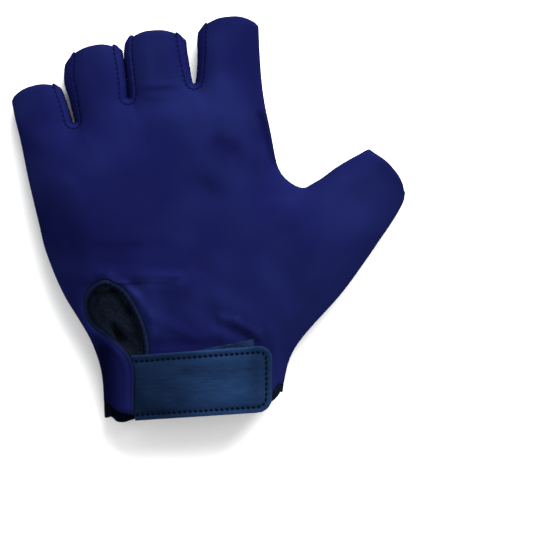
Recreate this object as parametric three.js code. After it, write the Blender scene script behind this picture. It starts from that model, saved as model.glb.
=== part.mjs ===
import * as THREE from 'three';

// A left-hand fingerless fitness glove that lies palm down. Sizes are in millimetres, +Z is up, the
// fingers point along +Y and the thumb along +X. The origin is the bottom centre of the glove's box.

// Walls and the small gaps between neighbouring pieces
const BACK_THICK = 1.2;
const PALM_THICK = 1.4;
const OVERLAY_THICK = 1.2;
const STRIP_THICK = 1.0;
const LINING_THICK = 0.8;
const TAPE_THICK = 0.9;
const GAP = 0.3;

// Heights: the side seam above the floor, and the back's rise above the seam, zone by zone
const SEAM = { finger: 6.5, palm: 8.5, thumb: 8.0 };
const RISE = { finger: 7.6, palm: 13.6, wrist: 9.2, thumb: 8.8 };
// How far from the seam the rounded side reaches before the back is level
const ROUNDING = { finger: 9.5, palm: 25, wrist: 17, thumb: 10.5 };
const SOLE_ROUNDING = 10.5;
const KNUCKLE_LINE = { y: 57, slope: 0.25, fade: 30 };
const WRIST_FADE = { from: -22, to: -72 };
const THUMB_ROOT = { x: 33, y: -6, dirX: 0.79, dirY: 0.61, fade: 32 };
// Exponent that blends the distances to several seams into one smooth distance, and its least distance
const SEAM_BLEND = 4;
const SEAM_NEAR = 1e-3;
// Half the step over which a surface's slope is measured
const SLOPE_STEP = 0.08;
// Points along each row of an outline table, along each side's seam and round a crotch
const CURVE_STEPS = 60;
const SEAM_STEPS = { pinky: 60, index: 80, heel: 60 };
const ARC_STEPS = 8;
const CROTCH_ANGLES = [-135, -90, -45];

// Seam insets: where a panel ends beside a strip or ring, measured in plan from the outline
const INSET = 2.6;
const RING = 0.9;

// Grid sizes
const PATCH_GAP = 0.4;
const PATCH_LIFT = OVERLAY_THICK + PATCH_GAP;
const LINING = { fromLine: 3, margin: 3, step: 2 };
const STRIP_POINTS = 5;
const RING_SHARE = 0.04;
const FINGER_COLUMNS = 4;
const FINGER_ROWS = 4;
const CROTCH_ROWS = 3;
const WEB_ROWS = 3;
const THUMB_ROWS = 4;
const HEEL_ROWS = 8;
const CUFF_ROWS = 2;
const KEYHOLE_COLUMN = 6;
// How far the palm's columns follow the finger roots, 0 for evenly spaced columns
const ROOT_SHARE = 0.5;

// Little-finger side of the outline, from the fingertip to the wrist
const PINKY_SIDE = [
  { x: -79.4, y: 47.6 }, { x: -77.7, y: 39.5 }, { x: -75.9, y: 32.4 }, { x: -72.6, y: 16.8 },
  { x: -68.6, y: 0 }, { x: -65.4, y: -12.8 }, { x: -58.2, y: -30 }, { x: -52.6, y: -39.2 },
  { x: -47.4, y: -48.4 }, { x: -43.4, y: -60 }, { x: -42.3, y: -72.8 }, { x: -42.1, y: -79 },
];
const PINKY_MARKS = { tip: 0, crotch: 2, overlayTop: 3, overlayEnd: 5, wrist: 10, hem: 11 };

// Index-finger side, from the fingertip to the thumb crotch and along the thumb to its end
const INDEX_SIDE = [
  { x: 19.8, y: 77.6 }, { x: 20.2, y: 67.2 }, { x: 21, y: 56 }, { x: 22.2, y: 46.8 },
  { x: 24.2, y: 37.2 }, { x: 26.8, y: 24.8 }, { x: 30, y: 16.6 }, { x: 36.2, y: 13.2 },
  { x: 42.6, y: 15.6 }, { x: 51.4, y: 21.8 }, { x: 63.4, y: 28.6 },
];
const INDEX_MARKS = { tip: 0, crotch: 2, overlayTop: 4, thumbCrotch: 7, thumbTip: 10 };

// Lower edge of the thumb and the heel, from the thumb's end to the wrist
const HEEL_SIDE = [
  { x: 79.4, y: 10.4 }, { x: 75.4, y: 2.8 }, { x: 69.8, y: -5.6 }, { x: 61, y: -18.4 },
  { x: 51.4, y: -31.2 }, { x: 41.4, y: -42 }, { x: 34.2, y: -51.2 }, { x: 31, y: -59.2 },
  { x: 29.8, y: -65.6 }, { x: 29.4, y: -68.8 },
];
const HEEL_MARKS = { thumbTip: 0, join: 6, wrist: 8, hem: 9 };

// Slits between the fingers: the centre line from the crotch to the mouth, with half the slit's width.
// The tips give how far up the slit each neighbouring finger ends, the insets the seams there.
const SLITS = [
  {
    rows: [
      { x: -54.4, y: 39.6, half: 0.55 }, { x: -55.8, y: 44.8, half: 0.6 },
      { x: -57.6, y: 50.8, half: 0.8 }, { x: -59.4, y: 56, half: 1.2 }, { x: -59.8, y: 63.2, half: 2 },
    ],
    leftTip: 0.62, rightTip: 0.97, leftInset: 2.6, rightInset: 4.6,
  },
  {
    rows: [
      { x: -32.6, y: 49.2, half: 0.5 }, { x: -32.9, y: 54, half: 0.4 },
      { x: -33.5, y: 59.2, half: 0.4 }, { x: -34.4, y: 65.6, half: 0.5 }, { x: -34.8, y: 71.4, half: 1.3 },
    ],
    leftTip: 0.85, rightTip: 0.97, leftInset: 2.6, rightInset: 2.8,
  },
  {
    rows: [
      { x: -6.2, y: 55.4, half: 0.7 }, { x: -6.4, y: 60, half: 1.35 },
      { x: -6.7, y: 66, half: 1.95 }, { x: -7.2, y: 71.6, half: 2.25 }, { x: -7, y: 76, half: 2.5 },
    ],
    leftTip: 0.78, rightTip: 0.97, leftInset: 3.6, rightInset: 3.4,
  },
];
// How far each fingertip's edge bulges past the line between its corners
const TIP_CROWNS = { little: 3.2, ring: 4.1, middle: 4.0, index: 4.4, thumb: 2.6 };
const CROWN_POWER = 2.6;
// Where the thumb's panel lies across its end: the share of the bulge at its upper and lower seam
const THUMB_SPAN = { from: 0.09, to: 0.91 };

// Cross lines of the palm patch: its upper edge and its lower edge, from the little-finger side
const OVERLAY_TOP = [{ x: -59.8, y: 20.8 }, { x: -32.6, y: 32 }, { x: -5.8, y: 38.4 }];
const OVERLAY_END = [{ x: -32.6, y: -14.4 }, { x: -7.8, y: -10.4 }, { x: 15, y: -6.4 }];
const THUMB_JOINT = { x: 36.2, y: -0.8 };

// Keyhole and the slit below it, from the keyhole's top to the wrist, on both sides
const KEYHOLE_LEFT = [
  { x: -41, y: -23.6 }, { x: -46.2, y: -25.8 }, { x: -49.4, y: -30.6 }, { x: -49.4, y: -36.6 },
  { x: -46.6, y: -42.2 }, { x: -40.4, y: -47.4 }, { x: -34.4, y: -52.2 }, { x: -31.4, y: -58.4 },
  { x: -31.2, y: -67.4 }, { x: -31.4, y: -76.9 },
];
const KEYHOLE_RIGHT = [
  { x: -41, y: -23.6 }, { x: -36, y: -25.2 }, { x: -31.9, y: -29 }, { x: -28.4, y: -34.5 },
  { x: -25.6, y: -40.8 }, { x: -23.9, y: -47.6 }, { x: -23.6, y: -54.6 }, { x: -24.2, y: -61.6 },
  { x: -24.6, y: -68.6 }, { x: -24.6, y: -75.8 },
];
const BINDING = { width: 2.1, thick: 1.8 };

// Wrist edges of the back, of its flap and of the palm side
const BACK_WRIST = [
  { x: -24.6, y: -75.8 }, { x: -3.8, y: -75 }, { x: 16.2, y: -73 }, { x: 24.6, y: -69.4 },
];
const FLAP_END = [{ x: -37.6, y: -75 }, { x: -34, y: -76.6 }];
const PALM_WRIST = [
  { x: -38, y: -80.6 }, { x: -35.6, y: -81.1 }, { x: -30.4, y: -79.9 }, { x: -22, y: -78.3 },
  { x: -10, y: -77.4 }, { x: 18, y: -74.4 },
];

// The flap over the strap's root: its lift, and where the lift starts and ends
const FLAP = { lift: 4.3, yFrom: -41, yTo: -54, side: 7 };

// Folds and dents of the back: a line, its spread and its height above the smooth form
const FOLDS = [
  { x1: -47, y1: -20.6, x2: -8, y2: -25.6, spread: 3.2, height: 1.5 },
  { x1: -38, y1: -14.5, x2: -2, y2: -19, spread: 3.6, height: -0.9 },
  { x1: -24.5, y1: -27, x2: -19, y2: -46, spread: 2.6, height: 1.1 },
  { x1: -2, y1: -38.5, x2: 13, y2: -46, spread: 2.4, height: -1.1 },
  { x1: 4, y1: -33, x2: 20, y2: -42, spread: 3.0, height: 0.8 },
  { x1: 2, y1: 31, x2: 10, y2: 27, spread: 6.0, height: -1.0 },
  { x1: -6, y1: 15, x2: 0, y2: 11, spread: 6.5, height: -1.0 },
  { x1: -61, y1: 2, x2: -57, y2: -12, spread: 5.0, height: -1.0 },
  { x1: -24, y1: 50.4, x2: -12, y2: 51.4, spread: 1.6, height: 0.5 },
  { x1: -24, y1: 46.2, x2: -11, y2: 47.4, spread: 1.8, height: -0.5 },
  { x1: 31, y1: 6, x2: 40, y2: -8, spread: 5.0, height: 0.9 },
  { x1: 24, y1: -14, x2: 34, y2: -30, spread: 5.5, height: -0.8 },
];

// Closure tab: its ends, its upper and lower edges, and its root, which is tucked under the flap
const STRAP = {
  rootX: -36, leftX: -29.2, endX: 25, thick: 1.7, corner: 5.4, columns: 12, cornerColumns: 4, rows: 4,
  topRootY: -54.2, topEndY: -49.6, lowRootY: -80, lowEndY: -76, tuckX: -30.2, tuckLowY: -71.6,
};
const STRAP_RIDE = { root: 0.75, end: 1.75, fromX: -13, toX: -3, downX: 19 };
const PATCH_RIDE = 0.35;
const LOOP_PATCH = {
  leftX: -3.8, rightX: 17.8, topLeftY: -51.6, topRightY: -47.2, lowY: -72,
  thick: 0.9, columns: 6, rows: 7,
};

// Colours and surfaces
const FINISHES = {
  cloth: { color: 0x1c2361, roughness: 0.78, metalness: 0 },
  cloth_side: { color: 0x1f2a78, roughness: 0.75, metalness: 0 },
  leather: { color: 0x4a638b, roughness: 0.62, metalness: 0 },
  patch: { color: 0x55709b, roughness: 0.55, metalness: 0 },
  strap: { color: 0x213c66, roughness: 0.7, metalness: 0 },
  tape: { color: 0x141a3c, roughness: 0.85, metalness: 0 },
  loop: { color: 0x151b40, roughness: 0.95, metalness: 0 },
  lining: { color: 0x10142c, roughness: 0.98, metalness: 0 },
};

const mix = (a, b, t) => a + (b - a) * t;
const clamp01 = (t) => Math.min(1, Math.max(0, t));
const smooth = (t) => clamp01(t) ** 2 * (3 - 2 * clamp01(t));
const flat = (x, y) => new THREE.Vector3(x, y, 0);
const lerp = (a, b, t) => a.clone().lerp(b, t);
const curveThrough = (rows) => new THREE.CatmullRomCurve3(
  rows.map((row) => new THREE.Vector3(row.x, row.y, row.half ?? 0)), false, 'centripetal',
);
const rowPoints = (rows) => rows.map((row) => flat(row.x, row.y));
const turnRight = (v) => flat(v.y, -v.x).normalize();

// Points at equal steps along a curve between two of its rows, each with the direction inward.
function stations(curve, fromRow, toRow, steps, inwardSide) {
  const last = curve.points.length - 1;
  const fine = CURVE_STEPS * (toRow - fromRow);
  const walk = [];
  let run = 0;
  for (let k = 0; k <= fine; k += 1) {
    const t = (fromRow + (toRow - fromRow) * k / fine) / last;
    const at = curve.getPoint(t);
    run += k > 0 ? at.distanceTo(walk[k - 1].at) : 0;
    walk.push({ t, at, run });
  }
  const found = [];
  for (let step = 0; step <= steps; step += 1) {
    const here = walk.find((w) => w.run >= run * step / steps - 1e-9) ?? walk[fine];
    const inward = turnRight(curve.getTangent(here.t)).multiplyScalar(inwardSide);
    found.push({ at: here.at, inward });
  }
  return found;
}

// Points at given fractions of the length of a smooth line through some points.
function along(points, fractions) {
  const curve = new THREE.CatmullRomCurve3(points, false, 'centripetal');
  return fractions.map((fraction) => curve.getPointAt(fraction));
}

const even = (steps) => Array.from({ length: steps + 1 }, (_, k) => k / steps);
const inset = (station, depth) => station.at.clone().addScaledVector(station.inward, depth);

const pinkyCurve = curveThrough(PINKY_SIDE);
const indexCurve = curveThrough(INDEX_SIDE);
const heelCurve = curveThrough(HEEL_SIDE);

const PINKY_TURN = -1;
const INDEX_TURN = 1;
const OVERLAY_ROWS = WEB_ROWS + THUMB_ROWS;

// Stations of each side between two marks of its outline
const sideStations = (curve, marks, turn) => (from, to, steps) => (
  stations(curve, marks[from], marks[to], steps, turn)
);
const onPinky = sideStations(pinkyCurve, PINKY_MARKS, PINKY_TURN);
const onIndex = sideStations(indexCurve, INDEX_MARKS, INDEX_TURN);
const onHeel = sideStations(heelCurve, HEEL_MARKS, INDEX_TURN);

const pinkyFinger = onPinky('tip', 'crotch', FINGER_ROWS).reverse();
const pinkyPalm = [
  ...onPinky('crotch', 'overlayTop', CROTCH_ROWS),
  ...onPinky('overlayTop', 'overlayEnd', OVERLAY_ROWS).slice(1),
  ...onPinky('overlayEnd', 'wrist', HEEL_ROWS + CUFF_ROWS).slice(1),
  ...onPinky('wrist', 'hem', 1).slice(1),
];
const indexFinger = onIndex('tip', 'crotch', FINGER_ROWS).reverse();
const indexPalm = [
  ...onIndex('crotch', 'overlayTop', CROTCH_ROWS),
  ...onIndex('overlayTop', 'thumbCrotch', WEB_ROWS).slice(1),
];
const thumbUpper = onIndex('thumbCrotch', 'thumbTip', HEEL_ROWS);
const thumbLower = onHeel('thumbTip', 'join', HEEL_ROWS);
const cuffSide = [
  ...onHeel('join', 'wrist', CUFF_ROWS),
  ...onHeel('wrist', 'hem', 1).slice(1),
];

// One edge of a slit, from the crotch to the fingertip: the side is -1 for the finger on its left.
function slitEdge(slit, side) {
  const curve = curveThrough(slit.rows);
  const reach = side < 0 ? slit.leftTip : slit.rightTip;
  return even(FINGER_ROWS).map((step) => {
    const centre = curve.getPoint(reach * step);
    const across = turnRight(curve.getTangent(reach * step)).multiplyScalar(side);
    return { at: flat(centre.x, centre.y).addScaledVector(across, centre.z), inward: across };
  });
}

// The half circle round a crotch, at a depth behind the slit's edge, left to right without its ends.
function crotchArc(slit, depth) {
  const curve = curveThrough(slit.rows);
  const up = curve.getTangent(0).setZ(0).normalize();
  const right = turnRight(up);
  const radius = slit.rows[0].half + depth;
  return CROTCH_ANGLES.map((degrees) => {
    const angle = THREE.MathUtils.degToRad(degrees);
    const inward = right.clone().multiplyScalar(Math.cos(angle)).addScaledVector(up, Math.sin(angle));
    return { at: flat(slit.rows[0].x, slit.rows[0].y).addScaledVector(inward, radius), inward };
  });
}

const crown = (t) => 1 - Math.abs(2 * t - 1) ** CROWN_POWER;

// A finger of the glove: two edges from the crotch to the tip, and places between them.
class Finger {
  constructor(left, right, bulge, leftInset, rightInset) {
    this.left = left;
    this.right = right;
    this.bulge = bulge;
    this.insets = [leftInset, rightInset];
    const root = lerp(left[0].at, right[0].at, 0.5);
    this.axis = lerp(left[FINGER_ROWS].at, right[FINGER_ROWS].at, 0.5).sub(root).normalize();
  }

  width(row) {
    return this.left[row].at.distanceTo(this.right[row].at);
  }

  place(row, t) {
    const stretch = this.bulge * crown(t) * (row / FINGER_ROWS) ** 2;
    return lerp(this.left[row].at, this.right[row].at, t).addScaledVector(this.axis, stretch);
  }

  // How far in from an edge the back panel's seam runs: side 0 is the left edge, 1 the right.
  seam(row, side) {
    return mix(INSET, this.insets[side], row / FINGER_ROWS);
  }

  // A place at a depth in from one edge.
  beside(row, side, depth) {
    const t = depth / this.width(row);
    return this.place(row, side === 0 ? t : 1 - t);
  }
}

const [slitA, slitB, slitC] = SLITS;
const FINGERS = [
  new Finger(pinkyFinger, slitEdge(slitA, -1), TIP_CROWNS.little, INSET, slitA.leftInset),
  new Finger(slitEdge(slitA, 1), slitEdge(slitB, -1), TIP_CROWNS.ring, slitA.rightInset, slitB.leftInset),
  new Finger(slitEdge(slitB, 1), slitEdge(slitC, -1), TIP_CROWNS.middle, slitB.rightInset, slitC.leftInset),
  new Finger(slitEdge(slitC, 1), indexFinger, TIP_CROWNS.index, slitC.rightInset, INSET),
];

// Smooth distance in plan from a place to all the seams of the glove's outline
const EXTEND = 9;
function seamLine(points) {
  const first = points[0].clone().add(points[0].clone().sub(points[1]).setLength(EXTEND));
  const end = points[points.length - 1];
  const last = end.clone().add(end.clone().sub(points[points.length - 2]).setLength(EXTEND));
  return [first, ...points, last];
}
const finePoints = (curve, steps) => even(steps).map((t) => curve.getPoint(t).setZ(0));
function slitLine(slit) {
  const arc = even(ARC_STEPS).map((t) => {
    const curve = curveThrough(slit.rows);
    const up = curve.getTangent(0).setZ(0).normalize();
    const angle = -Math.PI * (1 - t);
    const inward = turnRight(up).multiplyScalar(Math.cos(angle)).addScaledVector(up, Math.sin(angle));
    return flat(slit.rows[0].x, slit.rows[0].y).addScaledVector(inward, slit.rows[0].half);
  });
  const left = slitEdge(slit, -1).map((edge) => edge.at).reverse();
  const right = slitEdge(slit, 1).map((edge) => edge.at);
  return [...left.slice(0, -1), ...arc, ...right.slice(1)];
}
const SEAM_LINES = [
  seamLine(finePoints(pinkyCurve, SEAM_STEPS.pinky)),
  seamLine(slitLine(slitA)),
  seamLine(slitLine(slitB)),
  seamLine(slitLine(slitC)),
  seamLine(finePoints(indexCurve, SEAM_STEPS.index)),
  seamLine(finePoints(heelCurve, SEAM_STEPS.heel)),
];

function distanceToLine(x, y, line) {
  let nearest = Infinity;
  for (let k = 1; k < line.length; k += 1) {
    const a = line[k - 1];
    const b = line[k];
    const dx = b.x - a.x;
    const dy = b.y - a.y;
    const t = clamp01(((x - a.x) * dx + (y - a.y) * dy) / (dx * dx + dy * dy));
    nearest = Math.min(nearest, Math.hypot(x - a.x - dx * t, y - a.y - dy * t));
  }
  return nearest;
}

function seamDistance(x, y) {
  const distances = SEAM_LINES.map((line) => Math.max(distanceToLine(x, y, line), SEAM_NEAR));
  const sum = distances.reduce((total, distance) => total + distance ** -SEAM_BLEND, 0);
  return sum ** (-1 / SEAM_BLEND);
}

// Zone weights: from the knuckles to the palm, to the wrist and to the thumb
function zones(x, y) {
  const palm = smooth((KNUCKLE_LINE.y + KNUCKLE_LINE.slope * x - y) / KNUCKLE_LINE.fade);
  const wrist = smooth((y - WRIST_FADE.from) / (WRIST_FADE.to - WRIST_FADE.from));
  const reach = (x - THUMB_ROOT.x) * THUMB_ROOT.dirX + (y - THUMB_ROOT.y) * THUMB_ROOT.dirY;
  return { palm, wrist, thumb: smooth(reach / THUMB_ROOT.fade) * palm };
}

function zoned(table, zone) {
  const hand = mix(table.finger, table.palm, zone.palm);
  return mix(mix(hand, table.wrist ?? table.palm, zone.wrist), table.thumb, zone.thumb);
}
const roundSide = (t) => Math.sqrt(1 - (1 - clamp01(t)) ** 2);

function foldHeight(x, y) {
  return FOLDS.reduce((total, fold) => {
    const line = [flat(fold.x1, fold.y1), flat(fold.x2, fold.y2)];
    return total + fold.height * Math.exp(-((distanceToLine(x, y, line) / fold.spread) ** 2));
  }, 0);
}

function flapLift(x, y) {
  const down = smooth((y - FLAP.yFrom) / (FLAP.yTo - FLAP.yFrom));
  return FLAP.lift * down * smooth(seamDistance(x, y) / FLAP.side);
}

// Height of the back without the flap's lift
function backForm(x, y) {
  const zone = zones(x, y);
  const side = seamDistance(x, y);
  const rise = zoned(RISE, zone) * roundSide(side / zoned(ROUNDING, zone));
  return zoned(SEAM, zone) + GAP / 2 + rise + foldHeight(x, y) * smooth(side / ROUNDING.finger);
}

const seamHeight = (x, y) => zoned(SEAM, zones(x, y));
function soleHeight(x, y) {
  return (seamHeight(x, y) - GAP / 2) * (1 - roundSide(seamDistance(x, y) / SOLE_ROUNDING));
}

// The outward normal of a height function: side is 1 for the back and -1 for the palm side.
function outward(height, x, y, side) {
  const slopeX = (height(x + SLOPE_STEP, y) - height(x - SLOPE_STEP, y)) / (2 * SLOPE_STEP);
  const slopeY = (height(x, y + SLOPE_STEP) - height(x, y - SLOPE_STEP)) / (2 * SLOPE_STEP);
  return new THREE.Vector3(-slopeX, -slopeY, 1).normalize().multiplyScalar(side);
}

// A point of a wall: on the height function, or on the seam for a rim point, at a depth inside.
function onWall(place, height, side, depth) {
  if (place.rim) {
    const seam = seamHeight(place.at.x, place.at.y) + side * GAP / 2;
    return place.at.clone().setZ(seam).addScaledVector(place.rim, depth);
  }
  const { x, y } = place.at;
  const here = (atX, atY) => height(atX, atY, place);
  return flat(x, y).setZ(here(x, y)).addScaledVector(outward(here, x, y, side), -depth);
}

// A plan: faces over named places, which several walls share. Faces turn left seen from above.
class Plan {
  constructor() {
    this.places = [];
    this.faces = [];
    this.index = new Map();
  }

  add(place) {
    const key = `${place.at.x.toFixed(3)},${place.at.y.toFixed(3)}`;
    if (!this.index.has(key)) {
      this.index.set(key, this.places.length);
      this.places.push({ lift: 0, ...place });
    }
    const known = this.places[this.index.get(key)];
    known.lift = Math.max(known.lift, place.lift ?? 0);
    known.flap = Math.max(known.flap ?? 0, place.flap ?? 0);
    return this.index.get(key);
  }

  face(...places) {
    const ids = places.map((place) => this.add(place));
    this.faces.push(ids.filter((id, k) => ids.indexOf(id) === k));
  }

  // Faces between neighbouring lines of places: each line runs left to right, the first is uppermost.
  grid(lines, lift = 0) {
    const lifted = (place) => ({ ...place, lift: Math.max(lift, place.lift ?? 0) });
    for (let j = 1; j < lines.length; j += 1) {
      const [above, below] = [lines[j - 1], lines[j]];
      for (let i = 1; i < Math.min(below.length, above.length); i += 1) {
        this.face(...[below[i - 1], below[i], above[i], above[i - 1]].map(lifted));
      }
      if (below.length < above.length) {
        const end = below.length;
        this.face(...[below[end - 1], above[end], above[end - 1]].map(lifted));
      }
    }
  }
}

// A closed solid from faces over two matching layers of points, outer and inner.
function closedSolid(faces, outer, inner) {
  const count = outer.length;
  const triangles = [];
  const edges = new Map();
  faces.forEach((face) => {
    for (let k = 2; k < face.length; k += 1) {
      triangles.push(face[0], face[k - 1], face[k]);
      triangles.push(face[0] + count, face[k] + count, face[k - 1] + count);
    }
    face.forEach((from, k) => {
      const to = face[(k + 1) % face.length];
      if (!edges.delete(`${to},${from}`)) {
        edges.set(`${from},${to}`, [from, to]);
      }
    });
  });
  edges.forEach(([from, to]) => {
    triangles.push(to, from, from + count);
    triangles.push(to, from + count, to + count);
  });
  const geometry = new THREE.BufferGeometry();
  const positions = [...outer, ...inner].flatMap((point) => [point.x, point.y, point.z]);
  geometry.setAttribute('position', new THREE.Float32BufferAttribute(positions, 3));
  geometry.setIndex(triangles);
  geometry.computeVertexNormals();
  return geometry;
}

// A wall over a plan, between two depths below a height function.
function wall(plan, height, side, outerDepth, innerDepth) {
  const faces = side > 0 ? plan.faces : plan.faces.map((face) => [...face].reverse());
  const layer = (depth) => plan.places.map((place) => onWall(place, height, side, depth(place)));
  return closedSolid(faces, layer(outerDepth), layer(innerDepth));
}

// Faces of a plain grid of points, columns running along each line.
function gridFaces(lines, columns) {
  const faces = [];
  for (let j = 1; j < lines; j += 1) {
    for (let i = 1; i < columns; i += 1) {
      const at = (line, column) => line * columns + column;
      faces.push([at(j, i - 1), at(j, i), at(j - 1, i), at(j - 1, i - 1)]);
    }
  }
  return faces;
}

// A patch of places inside four border lines that share their corners.
function coons(top, bottom, left, right) {
  const across = top.length - 1;
  const down = left.length - 1;
  return left.map((leftAt, j) => top.map((topAt, i) => {
    const u = i / across;
    const v = j / down;
    if (i === 0) return leftAt;
    if (i === across) return right[j];
    if (j === 0) return topAt;
    if (j === down) return bottom[i];
    const sides = lerp(leftAt, right[j], u).add(lerp(topAt, bottom[i], v));
    return sides.sub(lerp(lerp(top[0], top[across], u), lerp(bottom[0], bottom[across], u), v));
  }));
}

const places = (lines) => lines.map((line) => line.map((at) => ({ at })));
const fractionsOf = (points) => {
  const runs = [0];
  points.slice(1).forEach((point, k) => runs.push(runs[k] + point.distanceTo(points[k])));
  return runs.map((run) => run / runs[runs.length - 1]);
};

// The line across the crotches: finger roots joined by the arcs below the slits
function rootLine() {
  const line = [];
  FINGERS.forEach((finger, k) => {
    const fromT = finger.seam(0, 0) / finger.width(0);
    const toT = 1 - finger.seam(0, 1) / finger.width(0);
    even(FINGER_COLUMNS).forEach((t) => line.push(finger.place(0, mix(fromT, toT, t))));
    if (k < SLITS.length) {
      crotchArc(SLITS[k], INSET).forEach((arc) => line.push(arc.at));
    }
  });
  return line;
}

// The palm's grid of lines, which the back and the palm side share down to the overlay's lower edge
function palmGrid() {
  const roots = rootLine();
  const columns = roots.length - 1;
  const left = pinkyPalm.map((station) => inset(station, INSET));
  left[0] = roots[0];
  const right = indexPalm.map((station) => inset(station, INSET));
  right[0] = roots[columns];
  const crotch = inset(thumbUpper[0], INSET);
  right[right.length - 1] = crotch;
  const joint = flat(THUMB_JOINT.x, THUMB_JOINT.y);
  const heelEnd = inset(thumbLower[HEEL_ROWS], INSET);
  const upperColumn = along([crotch, joint], even(THUMB_ROWS));
  const lowerColumn = along([joint, heelEnd], even(HEEL_ROWS));
  const cuff = cuffSide.map((station) => inset(station, INSET));
  const rootFractions = fractionsOf(roots);
  const blended = even(columns).map((t, k) => mix(t, rootFractions[k], ROOT_SHARE));
  const topEnd = CROTCH_ROWS + OVERLAY_ROWS;
  const overlayTop = along([left[CROTCH_ROWS], ...rowPoints(OVERLAY_TOP), right[CROTCH_ROWS]], blended);
  const overlayEnd = along([left[topEnd], ...rowPoints(OVERLAY_END), joint], even(columns));
  const webSide = [...right.slice(CROTCH_ROWS), ...upperColumn.slice(1)];
  return {
    columns,
    left,
    right,
    lowerColumn,
    upperColumn,
    cuff,
    knuckles: coons(roots, overlayTop, left.slice(0, CROTCH_ROWS + 1), right.slice(0, CROTCH_ROWS + 1)),
    overlay: coons(overlayTop, overlayEnd, left.slice(CROTCH_ROWS, topEnd + 1), webSide),
  };
}

// The thumb: lines across it above the overlay's lower edge, and shorter and shorter lines below it
function thumbGrid(palm) {
  const upper = thumbUpper.map((station) => inset(station, INSET));
  const lower = thumbLower.map((station) => inset(station, INSET));
  const joint = palm.lowerColumn[0];
  const top = [palm.upperColumn[0], ...upper.slice(1)];
  const bottom = along([joint, lower[0]], even(HEEL_ROWS));
  const right = even(THUMB_ROWS).map((t) => lerp(top[HEEL_ROWS], lower[0], t));
  const tube = coons(top, bottom, palm.upperColumn, right);
  const axis = thumbAxis();
  const shaped = tube.map((line, j) => line.map((at, i) => (
    at.clone().addScaledVector(axis, thumbStretch(mix(THUMB_SPAN.from, THUMB_SPAN.to, j / THUMB_ROWS), i))
  )));
  const heel = palm.lowerColumn.map((start, k) => {
    const cells = HEEL_ROWS - k;
    return even(Math.max(cells, 1)).slice(0, cells + 1).map((t) => lerp(start, lower[k], t));
  });
  heel[0] = shaped[THUMB_ROWS];
  heel[HEEL_ROWS] = [palm.lowerColumn[HEEL_ROWS]];
  return { tube: shaped, heel };
}

function thumbAxis() {
  const tip = lerp(thumbUpper[HEEL_ROWS].at, thumbLower[0].at, 0.5);
  return tip.sub(flat(THUMB_JOINT.x, THUMB_JOINT.y)).normalize();
}
const thumbStretch = (t, column) => TIP_CROWNS.thumb * crown(t) * (column / HEEL_ROWS) ** 2;

// Rings of faces between a panel's inset border and the side seam. The seam's places run along the side
// with the hand on their left or, turned round, on their right.
function addRings(plan, ring, handOnLeft) {
  for (let k = 1; k < ring.length; k += 1) {
    const [a, b] = handOnLeft ? [ring[k - 1], ring[k]] : [ring[k], ring[k - 1]];
    plan.face(a.outer, b.outer, b.middle, a.middle);
    plan.face(a.middle, b.middle, b.inner, a.inner);
  }
}

// The places of one ring: on the seam, a little way in, and on the panel's inset border.
const ringAt = (station, border, push = flat(0, 0)) => ({
  outer: { at: station.at, rim: station.inward },
  middle: { at: inset(station, RING).add(push) },
  inner: { at: border },
});

const fingerRing = (finger, side) => {
  const edge = side === 0 ? finger.left : finger.right;
  return edge.map((station, row) => ({
    outer: { at: finger.beside(row, side, 0), rim: station.inward },
    middle: { at: finger.beside(row, side, RING) },
    inner: { at: finger.beside(row, side, INSET) },
  })).reverse();
};

// One whole side of the hand: fingers, knuckles, palm, thumb and the given lines of the heel and cuff
function handPlan(palm, thumb, lower, cuffRows, patchLift) {
  const plan = new Plan();
  FINGERS.forEach((finger) => {
    const lines = even(FINGER_ROWS).map((_, k) => {
      const row = FINGER_ROWS - k;
      const fromT = finger.seam(row, 0) / finger.width(row);
      const toT = 1 - finger.seam(row, 1) / finger.width(row);
      return even(FINGER_COLUMNS).map((t) => ({ at: finger.place(row, mix(fromT, toT, t)) }));
    });
    plan.grid(lines);
  });
  plan.grid(places(palm.knuckles));
  plan.grid(places(palm.overlay), patchLift);
  plan.grid(places(thumb.tube), patchLift);
  plan.grid(places(thumb.heel));
  lower.forEach((lines) => plan.grid(lines));
  const pinkyEnd = CROTCH_ROWS + OVERLAY_ROWS + HEEL_ROWS + cuffRows;
  const pinkyRing = [
    ...fingerRing(FINGERS[0], 0),
    ...pinkyPalm.slice(1, pinkyEnd + 1).map((station, k) => ringAt(station, palm.left[k + 1])),
  ];
  addRings(plan, pinkyRing, true);
  const axis = thumbAxis();
  const push = (t, k) => axis.clone().multiplyScalar(thumbStretch(t, k));
  const indexRing = [
    ...fingerRing(FINGERS[FINGERS.length - 1], 1),
    ...indexPalm.slice(1).map((station, k) => ringAt(station, palm.right[k + 1])),
    ...thumbUpper.slice(1).map((station, k) => (
      ringAt(station, thumb.tube[0][k + 1], push(RING_SHARE, k + 1))
    )),
  ];
  addRings(plan, indexRing, false);
  const heelRing = [
    ...thumb.heel.map((line, k) => ringAt(
      thumbLower[k], line[line.length - 1], push(RING_SHARE, k === 0 ? HEEL_ROWS : 0),
    )),
    ...cuffSide.slice(1, cuffRows + 1).map((station, k) => ringAt(station, palm.cuff[k + 1])),
  ];
  addRings(plan, heelRing, false);
  return plan;
}

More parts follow.
